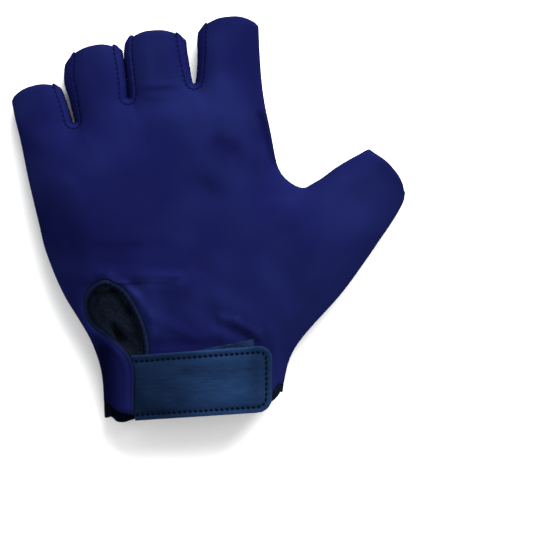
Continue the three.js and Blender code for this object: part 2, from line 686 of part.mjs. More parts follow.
// Lines of the back below the palm patch, split by the keyhole and its slit
function backLower(palm) {
  const top = palm.overlay[OVERLAY_ROWS];
  const start = CROTCH_ROWS + OVERLAY_ROWS;
  const end = start + HEEL_ROWS + CUFF_ROWS;
  const pinky = palm.left.slice(start, end + 1);
  const leftHole = [top[KEYHOLE_COLUMN], ...rowPoints(KEYHOLE_LEFT)];
  const rightHole = [top[KEYHOLE_COLUMN], ...rowPoints(KEYHOLE_RIGHT)];
  const outer = [...palm.lowerColumn, ...palm.cuff.slice(1, CUFF_ROWS + 1)];
  const ends = [pinky[pinky.length - 1], ...rowPoints(FLAP_END), leftHole[leftHole.length - 1]];
  const leftEnd = along(ends, even(KEYHOLE_COLUMN));
  const wrist = [...rowPoints(BACK_WRIST), outer[outer.length - 1]];
  const rightEnd = along(wrist, even(palm.columns - KEYHOLE_COLUMN));
  const flap = coons(top.slice(0, KEYHOLE_COLUMN + 1), leftEnd, pinky, leftHole);
  const main = coons(top.slice(KEYHOLE_COLUMN), rightEnd, rightHole, outer);
  return { flap, main };
}

// Lines of the palm side below its patch, down to the hem
function palmLower(palm) {
  const top = palm.overlay[OVERLAY_ROWS];
  const left = palm.left.slice(CROTCH_ROWS + OVERLAY_ROWS);
  const right = [...palm.lowerColumn, ...palm.cuff.slice(1)];
  const wrist = [left[left.length - 1], ...rowPoints(PALM_WRIST), right[right.length - 1]];
  const hem = along(wrist, even(palm.columns));
  return coons(top, hem, left, right);
}

const backShape = (x, y, place) => backForm(x, y) + (place.flap ?? 0) * flapLift(x, y);

// A strip between the fingers: over one finger's side, round the crotch and up the next finger's side
function fourchette(slit, leftFinger, rightFinger) {
  const beside = (finger, side, row) => ({
    at: (depth) => finger.beside(row, side, depth),
    inward: (side === 0 ? finger.left : finger.right)[row].inward,
    seam: finger.seam(row, side),
  });
  const rows = even(FINGER_ROWS).map((t) => Math.round(t * FINGER_ROWS));
  const sections = [
    ...rows.map((row) => beside(leftFinger, 1, FINGER_ROWS - row)),
    ...crotchArc(slit, 0).map((_, k) => ({
      at: (depth) => crotchArc(slit, depth)[k].at,
      inward: crotchArc(slit, 0)[k].inward,
      seam: INSET,
    })),
    ...rows.map((row) => beside(rightFinger, 0, row)),
  ];
  const layer = (depth) => sections.flatMap((section) => {
    const back = (d) => onWall({ at: section.at(d) }, backShape, 1, depth);
    const sole = (d) => onWall({ at: section.at(d) }, soleHeight, -1, depth);
    const edge = section.at(0).setZ(seamHeight(section.at(0).x, section.at(0).y));
    return [
      back(section.seam - GAP), back(RING), edge.addScaledVector(section.inward, depth),
      sole(RING), sole(section.seam - GAP),
    ];
  });
  return closedSolid(gridFaces(sections.length, STRIP_POINTS), layer(0), layer(STRIP_THICK));
}

// Lines of a band that follows a row of points: its near and its far edge on the inner side of a bend.
function bandLines(points, near, far) {
  const curve = points.map((at, k) => {
    const before = points[Math.max(0, k - 1)];
    const after = points[Math.min(points.length - 1, k + 1)];
    return { at, across: turnRight(after.clone().sub(before)) };
  });
  const edge = (distance) => curve.map(({ at, across }) => (
    { at: at.clone().addScaledVector(across, distance) }
  ));
  return [edge(near), edge(far)];
}

// The tape round the keyhole: up the main panel's edge, over the top and down the flap's edge
function keyholeBinding() {
  const right = rowPoints(KEYHOLE_RIGHT).reverse();
  const left = rowPoints(KEYHOLE_LEFT);
  const path = [...right, ...left.slice(1)];
  const turned = path.length - 1;
  const [near, far] = bandLines(path, -GAP, -GAP - BINDING.width);
  const onFlap = (place, k) => ({ ...place, flap: k > turned / 2 ? 1 : 0 });
  const points = [far.map(onFlap), near.map(onFlap)].flat();
  const layer = (depth) => points.map((place) => onWall(place, backShape, 1, depth));
  const proud = (BINDING.thick - BACK_THICK) / 2;
  return closedSolid(gridFaces(2, path.length), layer(-proud), layer(BACK_THICK + proud));
}

// The tape below the back's wrist edge, from beside the slit to the thumb-side seam
function backCuffTape(main) {
  const edge = main[main.length - 1].slice(1);
  const [near, far] = bandLines(edge, GAP, GAP + BINDING.width);
  const points = [near, far].flat();
  const layer = (depth) => points.map((place) => onWall(place, backShape, 1, depth));
  const proud = (BINDING.thick - BACK_THICK) / 2;
  return closedSolid(gridFaces(2, edge.length), layer(-proud), layer(BACK_THICK + proud));
}

// The closure tab, which rides over the back and narrows to round corners at its free end
function wristStrap() {
  const round = STRAP.endX - STRAP.corner;
  const root = [STRAP.rootX, mix(STRAP.rootX, STRAP.tuckX, 0.5), STRAP.tuckX];
  const straight = even(STRAP.columns - 1).map((t) => mix(STRAP.leftX, round, t));
  const bend = even(STRAP.cornerColumns).slice(1)
    .map((t) => round + STRAP.corner * Math.sin(t * Math.PI / 2));
  const lines = even(STRAP.rows).map((down) => [...root, ...straight, ...bend].map((x) => {
    const t = (x - STRAP.rootX) / (STRAP.endX - STRAP.rootX);
    const into = Math.max(0, x - round);
    const trim = STRAP.corner - Math.sqrt(Math.max(0, STRAP.corner ** 2 - into ** 2));
    const top = mix(STRAP.topRootY, STRAP.topEndY, t) - trim;
    const low = x < STRAP.leftX ? STRAP.tuckLowY : mix(STRAP.lowRootY, STRAP.lowEndY, t) + trim;
    return flat(x, mix(top, low, down));
  }));
  const ride = (x) => mix(
    STRAP_RIDE.root, STRAP_RIDE.end,
    smooth((x - STRAP_RIDE.fromX) / (STRAP_RIDE.toX - STRAP_RIDE.fromX))
      * (1 - smooth((x - STRAP_RIDE.downX) / (STRAP.endX - STRAP_RIDE.downX))),
  );
  const above = (at, height) => at.clone().setZ(backForm(at.x, at.y) + ride(at.x) + height);
  const layer = (height) => lines.flat().map((at) => above(at, height));
  return closedSolid(gridFaces(lines.length, lines[0].length), layer(STRAP.thick), layer(0));
}

// The loop patch under the strap's free end
function loopPatch() {
  const lines = even(LOOP_PATCH.rows).map((down) => even(LOOP_PATCH.columns).map((t) => {
    const top = mix(LOOP_PATCH.topLeftY, LOOP_PATCH.topRightY, t);
    return flat(mix(LOOP_PATCH.leftX, LOOP_PATCH.rightX, t), mix(top, LOOP_PATCH.lowY, down));
  }));
  const above = (at, height) => at.clone().setZ(backForm(at.x, at.y) + PATCH_RIDE + height);
  const layer = (height) => lines.flat().map((at) => above(at, height));
  return closedSolid(gridFaces(lines.length, lines[0].length), layer(LOOP_PATCH.thick), layer(0));
}

const palm = palmGrid();
const thumb = thumbGrid(palm);
const back = backLower(palm);
const sole = palmLower(palm);
const flapLines = back.flap.map((line) => line.map((at) => ({ at, flap: 1 })));
const backPlan = handPlan(palm, thumb, [flapLines, places(back.main)], CUFF_ROWS, 0);
const palmPlan = handPlan(palm, thumb, [places(sole)], CUFF_ROWS + 1, PATCH_LIFT);

const overlayPlan = new Plan();
overlayPlan.grid(places(palm.overlay));
overlayPlan.grid(places(thumb.tube));

// The lining covers the palm side's inner face, away from the sides, at half the grid's fineness
const liningPlan = new Plan();
const underPatch = palm.overlay.slice(LINING.fromLine)
  .map((line) => line.map((at) => ({ at, lift: PATCH_LIFT })));
const coarser = (row) => row.filter((_, k) => k % LINING.step === 0);
const trimmed = (line) => line.slice(LINING.margin, line.length - LINING.margin);
liningPlan.grid(
  coarser([...underPatch, ...places(sole.slice(1, -2))]).map((line) => coarser(trimmed(line))),
);

const cuffPlan = new Plan();
cuffPlan.grid(places(sole.slice(-2)));

const tapeDepth = PALM_THICK + GAP;
const PARTS = {
  back_panel: ['cloth', wall(backPlan, backShape, 1, () => 0, () => BACK_THICK)],
  palm_panel: ['leather', wall(palmPlan, soleHeight, -1, (at) => at.lift, (at) => at.lift + PALM_THICK)],
  palm_overlay: ['patch', wall(overlayPlan, soleHeight, -1, () => 0, () => OVERLAY_THICK)],
  palm_lining: ['lining', wall(
    liningPlan, soleHeight, -1, (at) => at.lift + tapeDepth, (at) => at.lift + tapeDepth + LINING_THICK,
  )],
  palm_cuff_tape: ['tape', wall(cuffPlan, soleHeight, -1, () => tapeDepth, () => tapeDepth + TAPE_THICK)],
  back_cuff_tape: ['tape', backCuffTape(back.main)],
  fourchette_little_ring: ['cloth_side', fourchette(slitA, FINGERS[0], FINGERS[1])],
  fourchette_ring_middle: ['cloth_side', fourchette(slitB, FINGERS[1], FINGERS[2])],
  fourchette_middle_index: ['cloth_side', fourchette(slitC, FINGERS[2], FINGERS[3])],
  keyhole_binding: ['tape', keyholeBinding()],
  wrist_strap: ['strap', wristStrap()],
  loop_patch: ['loop', loopPatch()],
};

const glove = new THREE.Group();
Object.entries(PARTS).forEach(([name, [finish, geometry]]) => {
  const mesh = new THREE.Mesh(geometry, new THREE.MeshStandardMaterial(FINISHES[finish]));
  mesh.name = name;
  glove.add(mesh);
});

// The origin is the middle of the box's underside.
const extent = new THREE.Box3().setFromObject(glove);
const middle = extent.getCenter(new THREE.Vector3());
glove.position.set(-middle.x, -middle.y, -extent.min.z);

export default glove;
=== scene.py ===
"""Looks of a left-hand fingerless fitness glove that lies palm down.

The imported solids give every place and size. Each soft solid is replaced by a smooth wall with its
folds, stitch channels and rolled edges, and every surface gets a procedural finish. Tables are in
millimetres in the frame's axes, and meshes are in metres.
"""

import logging
import math
from dataclasses import dataclass, field
from enum import Enum
from typing import Callable, Iterable, Sequence, Union

import bmesh
import bpy
from mathutils import Matrix, Vector, noise
from mathutils.bvhtree import BVHTree
from mathutils.kdtree import KDTree


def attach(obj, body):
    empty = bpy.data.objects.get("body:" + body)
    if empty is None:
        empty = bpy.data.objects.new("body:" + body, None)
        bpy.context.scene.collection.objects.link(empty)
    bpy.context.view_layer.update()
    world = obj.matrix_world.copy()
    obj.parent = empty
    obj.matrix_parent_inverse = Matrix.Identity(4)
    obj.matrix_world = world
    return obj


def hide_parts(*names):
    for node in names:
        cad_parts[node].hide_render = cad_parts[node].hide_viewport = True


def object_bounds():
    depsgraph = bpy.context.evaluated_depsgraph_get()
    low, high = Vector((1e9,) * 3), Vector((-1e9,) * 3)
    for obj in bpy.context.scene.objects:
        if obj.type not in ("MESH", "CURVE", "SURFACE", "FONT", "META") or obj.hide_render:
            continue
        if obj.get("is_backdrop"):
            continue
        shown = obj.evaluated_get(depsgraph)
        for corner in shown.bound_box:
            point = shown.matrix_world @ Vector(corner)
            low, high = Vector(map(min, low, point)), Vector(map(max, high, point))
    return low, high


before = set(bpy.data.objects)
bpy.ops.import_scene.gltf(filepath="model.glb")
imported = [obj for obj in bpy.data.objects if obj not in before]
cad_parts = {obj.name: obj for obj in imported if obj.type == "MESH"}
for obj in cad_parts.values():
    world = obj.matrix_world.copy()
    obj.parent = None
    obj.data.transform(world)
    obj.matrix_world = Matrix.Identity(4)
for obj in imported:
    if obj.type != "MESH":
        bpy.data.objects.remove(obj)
CAD_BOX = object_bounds()

MM = 0.001
ROOT = "root"
log = logging.getLogger("glove")

Number = Union[float, "Value"]
Colour = tuple[float, float, float]
Plane = tuple[float, float]

# Heights in millimetres from which a surface is looked for, above and below the glove
ABOVE = 40.0
BELOW = -20.0


class Mark(Enum):
    """The numbers stored at a wall's vertices for its finish to read."""

    # Painted light and shade: the tone is made lighter or darker where light or shade falls
    PAINTED_LIGHT_AND_SHADE = "lay"
    # Rubbed wear on the leather and tapes; on the tab, a painted highlight along its rim
    WEAR_AND_HIGHLIGHT = "worn"
    # Painted shade: darker at the keyhole binding's inner edge and in the lining's hollows
    PAINTED_SHADE = "deep"
    # Where stitch channels run; the finishes darken there as painted shade
    CHANNEL_SHADE = "channel"
    ALONG = "along"
    ACROSS = "across"


class Value:
    """One output of a shader graph, used in Python expressions."""

    def __init__(self, graph: "Graph", socket: bpy.types.NodeSocket) -> None:
        """Wraps a socket of a graph."""
        self.graph = graph
        self.socket = socket

    def __add__(self, other: Number) -> "Value":
        """Sum."""
        return self.graph.math("ADD", self, other)

    __radd__ = __add__

    def __mul__(self, other: Number) -> "Value":
        """Product."""
        return self.graph.math("MULTIPLY", self, other)

    __rmul__ = __mul__

    def __sub__(self, other: Number) -> "Value":
        """Difference."""
        return self.graph.math("SUBTRACT", self, other)

    def __rsub__(self, other: Number) -> "Value":
        """Difference from a number."""
        return self.graph.math("SUBTRACT", other, self)

    def step(self, low: float, high: float) -> "Value":
        """A smooth rise from 0 to 1.

        Args:
            low: the value at which the rise starts.
            high: the value at which it ends.

        Returns:
            The risen value.
        """
        sockets = {"Value": self, "From Min": low, "From Max": high, "To Min": 0.0, "To Max": 1.0}
        node = self.graph.add("ShaderNodeMapRange", {"interpolation_type": "SMOOTHSTEP"}, sockets)
        return Value(self.graph, node.outputs["Result"])

    def wave(self, pitch: float, phase: float = 0.0) -> "Value":
        """A sine of this length that runs from 0 to 1."""
        turned = self * (2 * math.pi / pitch) + phase
        return self.graph.math("SINE", turned, 0.0) * 0.5 + 0.5


class Graph:
    """The node graph of one procedural finish."""

    def __init__(self, name: str) -> None:
        """Makes a material with a plain shader to feed.

        Args:
            name: the material's name.
        """
        self.material = bpy.data.materials.new(name)
        self.material.use_nodes = True
        self.nodes = self.material.node_tree.nodes
        self.links = self.material.node_tree.links
        self.shader = next(node for node in self.nodes if node.type == "BSDF_PRINCIPLED")

    def add(self, kind: str, settings: dict | None = None, sockets: dict | None = None) -> bpy.types.Node:
        """Adds a node.

        Args:
            kind: the node's type.
            settings: its own settings, such as a Math node's operation; they are set first.
            sockets: values or links of its sockets, by name or number.

        Returns:
            The node.
        """
        node = self.nodes.new(kind)
        for key, setting in (settings or {}).items():
            setattr(node, key, setting)
        for key, value in (sockets or {}).items():
            self.feed(node.inputs[key], value)
        return node

    def feed(self, socket: bpy.types.NodeSocket, value: object) -> None:
        """Links a value to a socket, or sets a number or colour on it.

        Args:
            socket: the socket that is fed.
            value: a value of this graph, a number or a colour.
        """
        if isinstance(value, Value):
            self.links.new(value.socket, socket)
        else:
            socket.default_value = value

    def math(self, operation: str, left: Number, right: Number) -> Value:
        """A Math node's result."""
        node = self.add("ShaderNodeMath", {"operation": operation}, {0: left, 1: right})
        return Value(self, node.outputs[0])

    def vector(self, operation: str, left: Value, right: Union[Value, Colour]) -> Value:
        """A Vector Math node's result."""
        node = self.add("ShaderNodeVectorMath", {"operation": operation}, {0: left, 1: right})
        return Value(self, node.outputs[0])

    def place(self, stretch: Colour = (1.0, 1.0, 1.0)) -> Value:
        """The place on the object in millimetres.

        Args:
            stretch: a factor for each axis.

        Returns:
            The place as a vector.
        """
        coordinates = self.add("ShaderNodeTexCoord")
        scale = tuple(part / MM for part in stretch)
        return self.vector("MULTIPLY", Value(self, coordinates.outputs["Object"]), scale)

    def parts(self, where: Value) -> list[Value]:
        """The three numbers of a vector."""
        node = self.add("ShaderNodeSeparateXYZ", {}, {0: where})
        return [Value(self, output) for output in node.outputs]

    def cloud(self, where: Value, size: float, detail: float = 3.0, rough: float = 0.5) -> Value:
        """Noise around 0.5.

        Args:
            where: the place at which it is read.
            size: the size of its lumps in millimetres.
            detail: how many finer layers it has.
            rough: how strong the finer layers are.

        Returns:
            The noise.
        """
        sockets = {"Vector": where, "Scale": 1.0 / size, "Detail": detail, "Roughness": rough}
        node = self.add("ShaderNodeTexNoise", {"noise_dimensions": "3D"}, sockets)
        return Value(self, node.outputs[0])

    def cells(self, where: Value, size: float, feature: str = "DISTANCE_TO_EDGE") -> Value:
        """The distance inside round cells.

        Args:
            where: the place at which it is read.
            size: the size of the cells in millimetres.
            feature: the distance that is meant, such as F1 from a cell's middle.

        Returns:
            The distance.
        """
        sockets = {"Vector": where, "Scale": 1.0 / size, "Randomness": 0.95}
        node = self.add("ShaderNodeTexVoronoi", {"feature": feature}, sockets)
        return Value(self, node.outputs["Distance"])

    def bent(self, where: Value, size: float, reach: float) -> Value:
        """A place shifted by noise, which makes a pattern less regular.

        Args:
            where: the place.
            size: the size of the noise's lumps in millimetres.
            reach: the longest shift in millimetres.

        Returns:
            The shifted place.
        """
        sockets = {"Vector": where, "Scale": 1.0 / size, "Detail": 2.0}
        node = self.add("ShaderNodeTexNoise", {"noise_dimensions": "3D"}, sockets)
        shift = self.vector("MULTIPLY", Value(self, node.outputs["Color"]), (reach, reach, reach))
        return self.vector("ADD", where, shift)

    def stored(self, mark: Mark) -> Value:
        """A number stored at the mesh's vertices, 0 where none is."""
        node = self.add("ShaderNodeAttribute", {"attribute_name": mark.value})
        return Value(self, node.outputs["Fac"])

    def mix(self, factor: Number, first: Union[Value, Colour], second: Union[Value, Colour]) -> Value:
        """A colour between two colours.

        Args:
            factor: 0 for the first colour, 1 for the second.
            first: the first colour.
            second: the second colour.

        Returns:
            The mixed colour.
        """
        colours = [c if isinstance(c, Value) else (*c, 1.0) for c in (first, second)]
        settings = {"data_type": "RGBA", "clamp_factor": True}
        node = self.add("ShaderNodeMix", settings, {0: factor, 6: colours[0], 7: colours[1]})
        return Value(self, node.outputs[2])

    def tone(self, colour: Union[Value, Colour], amount: Number) -> Value:
        """A colour made lighter or darker.

        Args:
            colour: the colour.
            amount: the factor, around 1.

        Returns:
            The toned colour.
        """
        node = self.add("ShaderNodeCombineXYZ", {}, {0: amount, 1: amount, 2: amount})
        whole = Value(self, node.outputs[0])
        colour = colour if isinstance(colour, Value) else self.mix(0.0, colour, colour)
        return self.vector("MULTIPLY", colour, whole)

    def bump(self, height: Value, depth: float) -> Value:
        """A normal bent by a height of 0 to 1 that stands for this depth in millimetres."""
        node = self.add("ShaderNodeBump", {}, {"Strength": 1.0, "Distance": depth * MM, "Height": height})
        return Value(self, node.outputs["Normal"])

    def dress(self, sockets: dict) -> bpy.types.Material:
        """Feeds the shader.

        Args:
            sockets: values or links by the names of the shader's sockets.

        Returns:
            The material.
        """
        for key, value in sockets.items():
            self.feed(self.shader.inputs[key], value)
        return self.material


def shade(colour: Colour, amount: float) -> Colour:
    """A colour times an amount."""
    return tuple(part * amount for part in colour)


@dataclass(frozen=True)
class Gloss:
    """What a finish throws back at low angles, as constants of the shader's own sockets."""

    sheen: float = 0.0
    sheen_rough: float = 0.5
    sheen_tint: Colour = (1.0, 1.0, 1.0)
    specular: float = 0.0
    specular_tint: Colour = (1.0, 1.0, 1.0)

    def sockets(self) -> dict:
        """The constants to feed to a shader.

        Returns:
            The values by the names of its sockets.
        """
        return {
            "Sheen Weight": self.sheen,
            "Sheen Roughness": self.sheen_rough,
            "Sheen Tint": (*self.sheen_tint, 1.0),
            "Specular IOR Level": self.specular,
            "Specular Tint": (*self.specular_tint, 1.0),
        }


@dataclass(frozen=True)
class KnitCloth:
    """Stretch knit with a soft sheen, its fine wales and courses, a little pilling, and painted light and
    shade.
    """

    name: str = "stretch_knit"
    colour: Colour = (0.0038, 0.0048, 0.0364)
    light: Colour = (0.0050, 0.0070, 0.0432)
    wale: float = 0.62
    course: float = 0.5
    depth: float = 0.045
    side_slope: float = 0.55
    bend_size: float = 9.0
    bend_reach: float = 0.8
    fuzz_size: float = 0.5
    patch_size: float = 30.0
    rub_size: float = 4.5
    gloss: Gloss = Gloss(0.02, 0.35, (0.16, 0.22, 1.0))

    def material(self) -> bpy.types.Material:
        """Builds the finish.

        Returns:
            The material.
        """
        g = Graph(self.name)
        where = g.place()
        x, y, z = g.parts(g.bent(where, self.bend_size, self.bend_reach))
        wales = (x + z * self.side_slope).wave(self.wale)
        courses = (y - z * self.side_slope).wave(self.course, 0.8)
        loops = wales * (0.55 + 0.45 * courses)
        fuzz = g.cloud(where, self.fuzz_size, 4.0, 0.65)
        # Random lighter patches, shifted by the painted light and shade stored on the mesh
        patches_and_painted_light = (g.cloud(where, self.patch_size, 1.0, 0.45) + g.stored(Mark.PAINTED_LIGHT_AND_SHADE) * 0.8).step(0.35, 0.68)
        rubbed = g.cloud(where, self.rub_size, 4.0, 0.6)
        base = g.mix(patches_and_painted_light, self.colour, self.light)
        tone = 0.90 + loops * 0.07 + (rubbed - 0.5) * 0.10 + (fuzz - 0.5) * 0.12
        # The tone also takes the painted light and shade
        return g.dress({
            "Base Color": g.tone(base, tone * (1.0 + g.stored(Mark.PAINTED_LIGHT_AND_SHADE))),
            "Roughness": 0.66 + (fuzz - 0.5) * 0.16,
            "Normal": g.bump(loops * 0.7 + fuzz * 0.5, self.depth),
            **self.gloss.sockets(),
        })


@dataclass(frozen=True)
class PebbledLeather:
    """Soft synthetic leather with pebbled grain, dark creases and rubbed high spots."""

    name: str
    colour: Colour
    pebble: float
    depth: float
    contrast: float
    rough: float
    stretch: Colour = (1.0, 0.82, 1.0)
    wave_size: float = 2.6
    wave_reach: float = 1.4
    fine_share: float = 0.55
    grain_size: float = 0.35
    soft_size: float = 7.0
    broad_size: float = 24.0
    gloss: Gloss = Gloss(0.03, 0.5, (0.45, 0.65, 1.0), 0.08, (0.5, 0.7, 1.0))

    def material(self) -> bpy.types.Material:
        """Builds the finish.

        Returns:
            The material.
        """
        g = Graph(self.name)
        where = g.place(self.stretch)
        wavy = g.bent(where, self.wave_size, self.wave_reach)
        crease = g.cloud(wavy, self.pebble, 5.0, 0.62).step(0.36, 0.57)
        fine = g.cells(g.bent(where, 1.2, 0.7), self.pebble * self.fine_share).step(0.0, 0.5)
        grain = g.cloud(where, self.grain_size, 4.0, 0.6)
        soft = g.cloud(where, self.soft_size, 4.0, 0.55)
        broad = g.cloud(where, self.broad_size, 3.0, 0.5)
        worn = g.stored(Mark.WEAR_AND_HIGHLIGHT)
        tops = crease * 0.72 + fine * 0.28
        tone = 1.0 - self.contrast + tops * self.contrast * 1.35
        tone = tone + (soft - 0.5) * 0.4 + (broad - 0.5) * 0.9
        # Lighter where rubbed, and darker in the stitch channels as painted shade
        tone = tone * (1.0 + worn * 0.22) * (1.0 - g.stored(Mark.CHANNEL_SHADE) * 0.30)
        rubbed = g.mix(worn * 0.35, self.colour, shade(self.colour, 1.25))
        height = tops * 0.8 + fine * 0.16 + grain * 0.22
        return g.dress({
            "Base Color": g.tone(rubbed, tone),
            "Roughness": self.rough - worn * 0.08 + (1.0 - crease) * 0.12,
            "Normal": g.bump(height, self.depth),
            **self.gloss.sockets(),
        })


@dataclass(frozen=True)
class BrushedSuede:
    """Brushed microfibre of the closure tab: fine nap that lies along the tab, with streaks."""

    name: str = "brushed_suede"
    colour: Colour = (0.0050, 0.0134, 0.0384)
    depth: float = 0.09
    streak_size: float = 1.1
    line_size: float = 0.42
    broad_size: float = 7.0
    cloudy_size: float = 11.0
    grain_size: float = 0.4
    gloss: Gloss = Gloss(0.02, 0.4, (0.3, 0.55, 1.0), 0.01, (0.35, 0.6, 1.0))

    def material(self) -> bpy.types.Material:
        """Builds the finish.

        Returns:
            The material.
        """
        g = Graph(self.name)
        streaks = g.cloud(g.place((0.16, 1.0, 1.0)), self.streak_size, 5.0, 0.65)
        broad = g.cloud(g.place((0.3, 1.0, 1.0)), self.broad_size, 3.0, 0.55)
        grain = g.cloud(g.place(), self.grain_size, 4.0, 0.7)
        lines = g.cloud(g.place((0.1, 1.0, 1.0)), self.line_size, 3.0, 0.6).step(0.3, 0.7)
        cloudy = g.cloud(g.place((0.5, 1.0, 1.0)), self.cloudy_size, 3.0, 0.6)
        tone = 0.52 + streaks * 0.62 + (broad - 0.5) * 0.75 + lines * 0.16 + (grain - 0.5) * 0.25
        # Painted light and shade across the tab, then a painted highlight along its rim and painted shade
        # in the stitch channel
        tone = (tone + (cloudy - 0.5) * 0.7) * (1.0 + g.stored(Mark.PAINTED_LIGHT_AND_SHADE))
        tone = tone * (1.0 + g.stored(Mark.WEAR_AND_HIGHLIGHT) * 0.35) * (1.0 - g.stored(Mark.CHANNEL_SHADE) * 0.12)
        return g.dress({
            "Base Color": g.tone(self.colour, tone),
            "Roughness": 0.66 + (streaks - 0.5) * 0.2,
            "Normal": g.bump(streaks * 0.6 + lines * 0.3 + grain * 0.4, self.depth),
            **self.gloss.sockets(),
        })


@dataclass(frozen=True)
class RibbedTape:
    """Narrow knitted or woven tape whose ribs cross it at a fixed pitch."""

    name: str
    colour: Colour
    rib: float = 0.7
    weight: float = 0.25
    depth: float = 0.08
    fuzz_size: float = 0.5
    broad_size: float = 6.0
    gloss: Gloss = Gloss(0.02, 0.5, (0.4, 0.55, 1.0))

    def material(self) -> bpy.types.Material:
        """Builds the finish.

        Returns:
            The material.
        """
        g = Graph(self.name)
        where = g.place()
        ribs = g.stored(Mark.ALONG).wave(self.rib)
        cross = g.stored(Mark.ACROSS).wave(self.rib * 0.6)
        weave = ribs * (0.6 + 0.4 * cross)
        fuzz = g.cloud(where, self.fuzz_size, 4.0, 0.7)
        broad = g.cloud(where, self.broad_size, 3.0, 0.5)
        tone = 0.74 + weave * self.weight + (fuzz - 0.5) * 0.4 + (broad - 0.5) * 0.4
        # Lighter where rubbed, and darker where painted shade is marked at the keyhole's edge
        tone = tone * (1.0 + g.stored(Mark.WEAR_AND_HIGHLIGHT) * 1.1) * (1.0 - g.stored(Mark.PAINTED_SHADE) * 0.72)
        return g.dress({
            "Base Color": g.tone(self.colour, tone),
            "Roughness": 0.82 + (fuzz - 0.5) * 0.12,
            "Normal": g.bump(weave * 0.7 + fuzz * 0.5, self.depth),
            **self.gloss.sockets(),
        })


@dataclass(frozen=True)
class NappedPile:
    """Napped fabric of the lining or the fastener's loops: short tangled pile in clumps."""

    name: str
    colour: Colour
    tuft: float
    depth: float
    contrast: float = 0.9
    bend_size: float = 1.1
    bend_reach: float = 0.7
    broad_size: float = 5.0
    gloss: Gloss = Gloss(0.03, 0.6, (0.5, 0.7, 1.0))

    def material(self) -> bpy.types.Material:
        """Builds the finish.

        Returns:
            The material.
        """
        g = Graph(self.name)
        where = g.place()
        tufts = 1.0 - g.cells(g.bent(where, self.bend_size, self.bend_reach), self.tuft, "F1")
        tangle = g.cloud(where, self.tuft * 0.5, 5.0, 0.75)
        broad = g.cloud(where, self.broad_size, 3.0, 0.6)
        tone = 0.45 + tufts * 0.5 + (tangle - 0.5) * self.contrast + (broad - 0.5) * 0.7
        # The nap is darkened where painted shade is marked
        return g.dress({
            "Base Color": g.tone(self.colour, tone * (1.0 - g.stored(Mark.PAINTED_SHADE) * 0.85)),
            "Roughness": 0.96,
            "Normal": g.bump(tufts * 0.5 + tangle * 0.7, self.depth),
            **self.gloss.sockets(),
        })


@dataclass(frozen=True)
class Thread:
    """Twisted sewing thread."""

    name: str
    colour: Colour
    twist: float = 0.22
    depth: float = 0.03
    gloss: Gloss = Gloss(specular=0.01, specular_tint=(0.4, 0.6, 1.0))

    def material(self) -> bpy.types.Material:
        """Builds the finish.

        Returns:
            The material.
        """
        g = Graph(self.name)
        x, y, z = g.parts(g.place())
        twist = (x + y * 0.8 + z * 1.3).wave(self.twist)
        uneven = g.cloud(g.place(), 3.0, 2.0, 0.5)
        return g.dress({
            "Base Color": g.tone(self.colour, 0.55 + twist * 0.5 + uneven * 0.5),
            "Roughness": 0.62,
            "Normal": g.bump(twist, self.depth),
            **self.gloss.sockets(),
        })


class Finish(Enum):
    """The finishes that the pieces take."""

    CLOTH = "cloth"
    CLOTH_SIDE = "cloth_side"
    LEATHER = "leather"
    PATCH = "patch"
    STRAP = "strap"
    BINDING = "binding"
    HEM = "hem"
    LOOP = "loop"
    LINING = "lining"
    NAP = "nap"
    THREAD = "thread"
    NAVY_THREAD = "navy_thread"


RECIPES = {
    Finish.CLOTH: KnitCloth(),
    Finish.CLOTH_SIDE: KnitCloth(
        "side_knit", colour=(0.0042, 0.0050, 0.0420), light=(0.0052, 0.0070, 0.0490), wale=0.5,
    ),
    Finish.LEATHER: PebbledLeather(
        "pebbled_leather", (0.0235, 0.0380, 0.0700), pebble=0.8, depth=0.30, contrast=0.66, rough=0.60,
    ),
    Finish.PATCH: PebbledLeather(
        "smooth_leather", (0.0480, 0.0770, 0.1330), pebble=0.7, depth=0.12, contrast=0.28, rough=0.54,
        stretch=(1.0, 1.0, 1.0),
    ),
    Finish.STRAP: BrushedSuede(),
    Finish.BINDING: RibbedTape("knit_binding", (0.0037, 0.0066, 0.0175), weight=0.4),
    Finish.HEM: RibbedTape("hem_tape", (0.0018, 0.0026, 0.0066)),
    Finish.LOOP: NappedPile("loop_pile", (0.0066, 0.0155, 0.0460), tuft=0.8, depth=0.25),
    Finish.LINING: NappedPile("napped_lining", (0.0056, 0.0084, 0.0168), tuft=1.1, depth=0.40),
    # Painted light: the napped lining is made much lighter than its own colour, to make up for the shade
    # inside the keyhole
    Finish.NAP: NappedPile("nap_with_painted_light", (0.0420, 0.0630, 0.1200), tuft=1.5, depth=0.9, contrast=1.7),
    Finish.THREAD: Thread("sewing_thread", (0.0008, 0.0015, 0.0050)),
    Finish.NAVY_THREAD: Thread("navy_thread", (0.0016, 0.0020, 0.0136)),
}
# The record's slots of the finishes that have no slot of their own name
SLOTS = {
    Finish.BINDING: "tape",
    Finish.HEM: "tape",
    Finish.THREAD: "tape",
    Finish.NAVY_THREAD: "cloth",
    Finish.NAP: "lining",
}
_made: dict[Finish, bpy.types.Material] = {}


def finish_of(finish: Finish) -> bpy.types.Material:
    """The material of a finish, built when it is first asked for.

    Args:
        finish: the finish.

    Returns:
        The material.
    """
    if finish not in _made:
        _made[finish] = RECIPES[finish].material()
    return _made[finish]


def clamp01(value: float) -> float:
    """The value held between 0 and 1."""
    return min(1.0, max(0.0, value))


def ease(value: float) -> float:
    """A smooth rise from 0 to 1."""
    value = clamp01(value)
    return value * value * (3 - 2 * value)


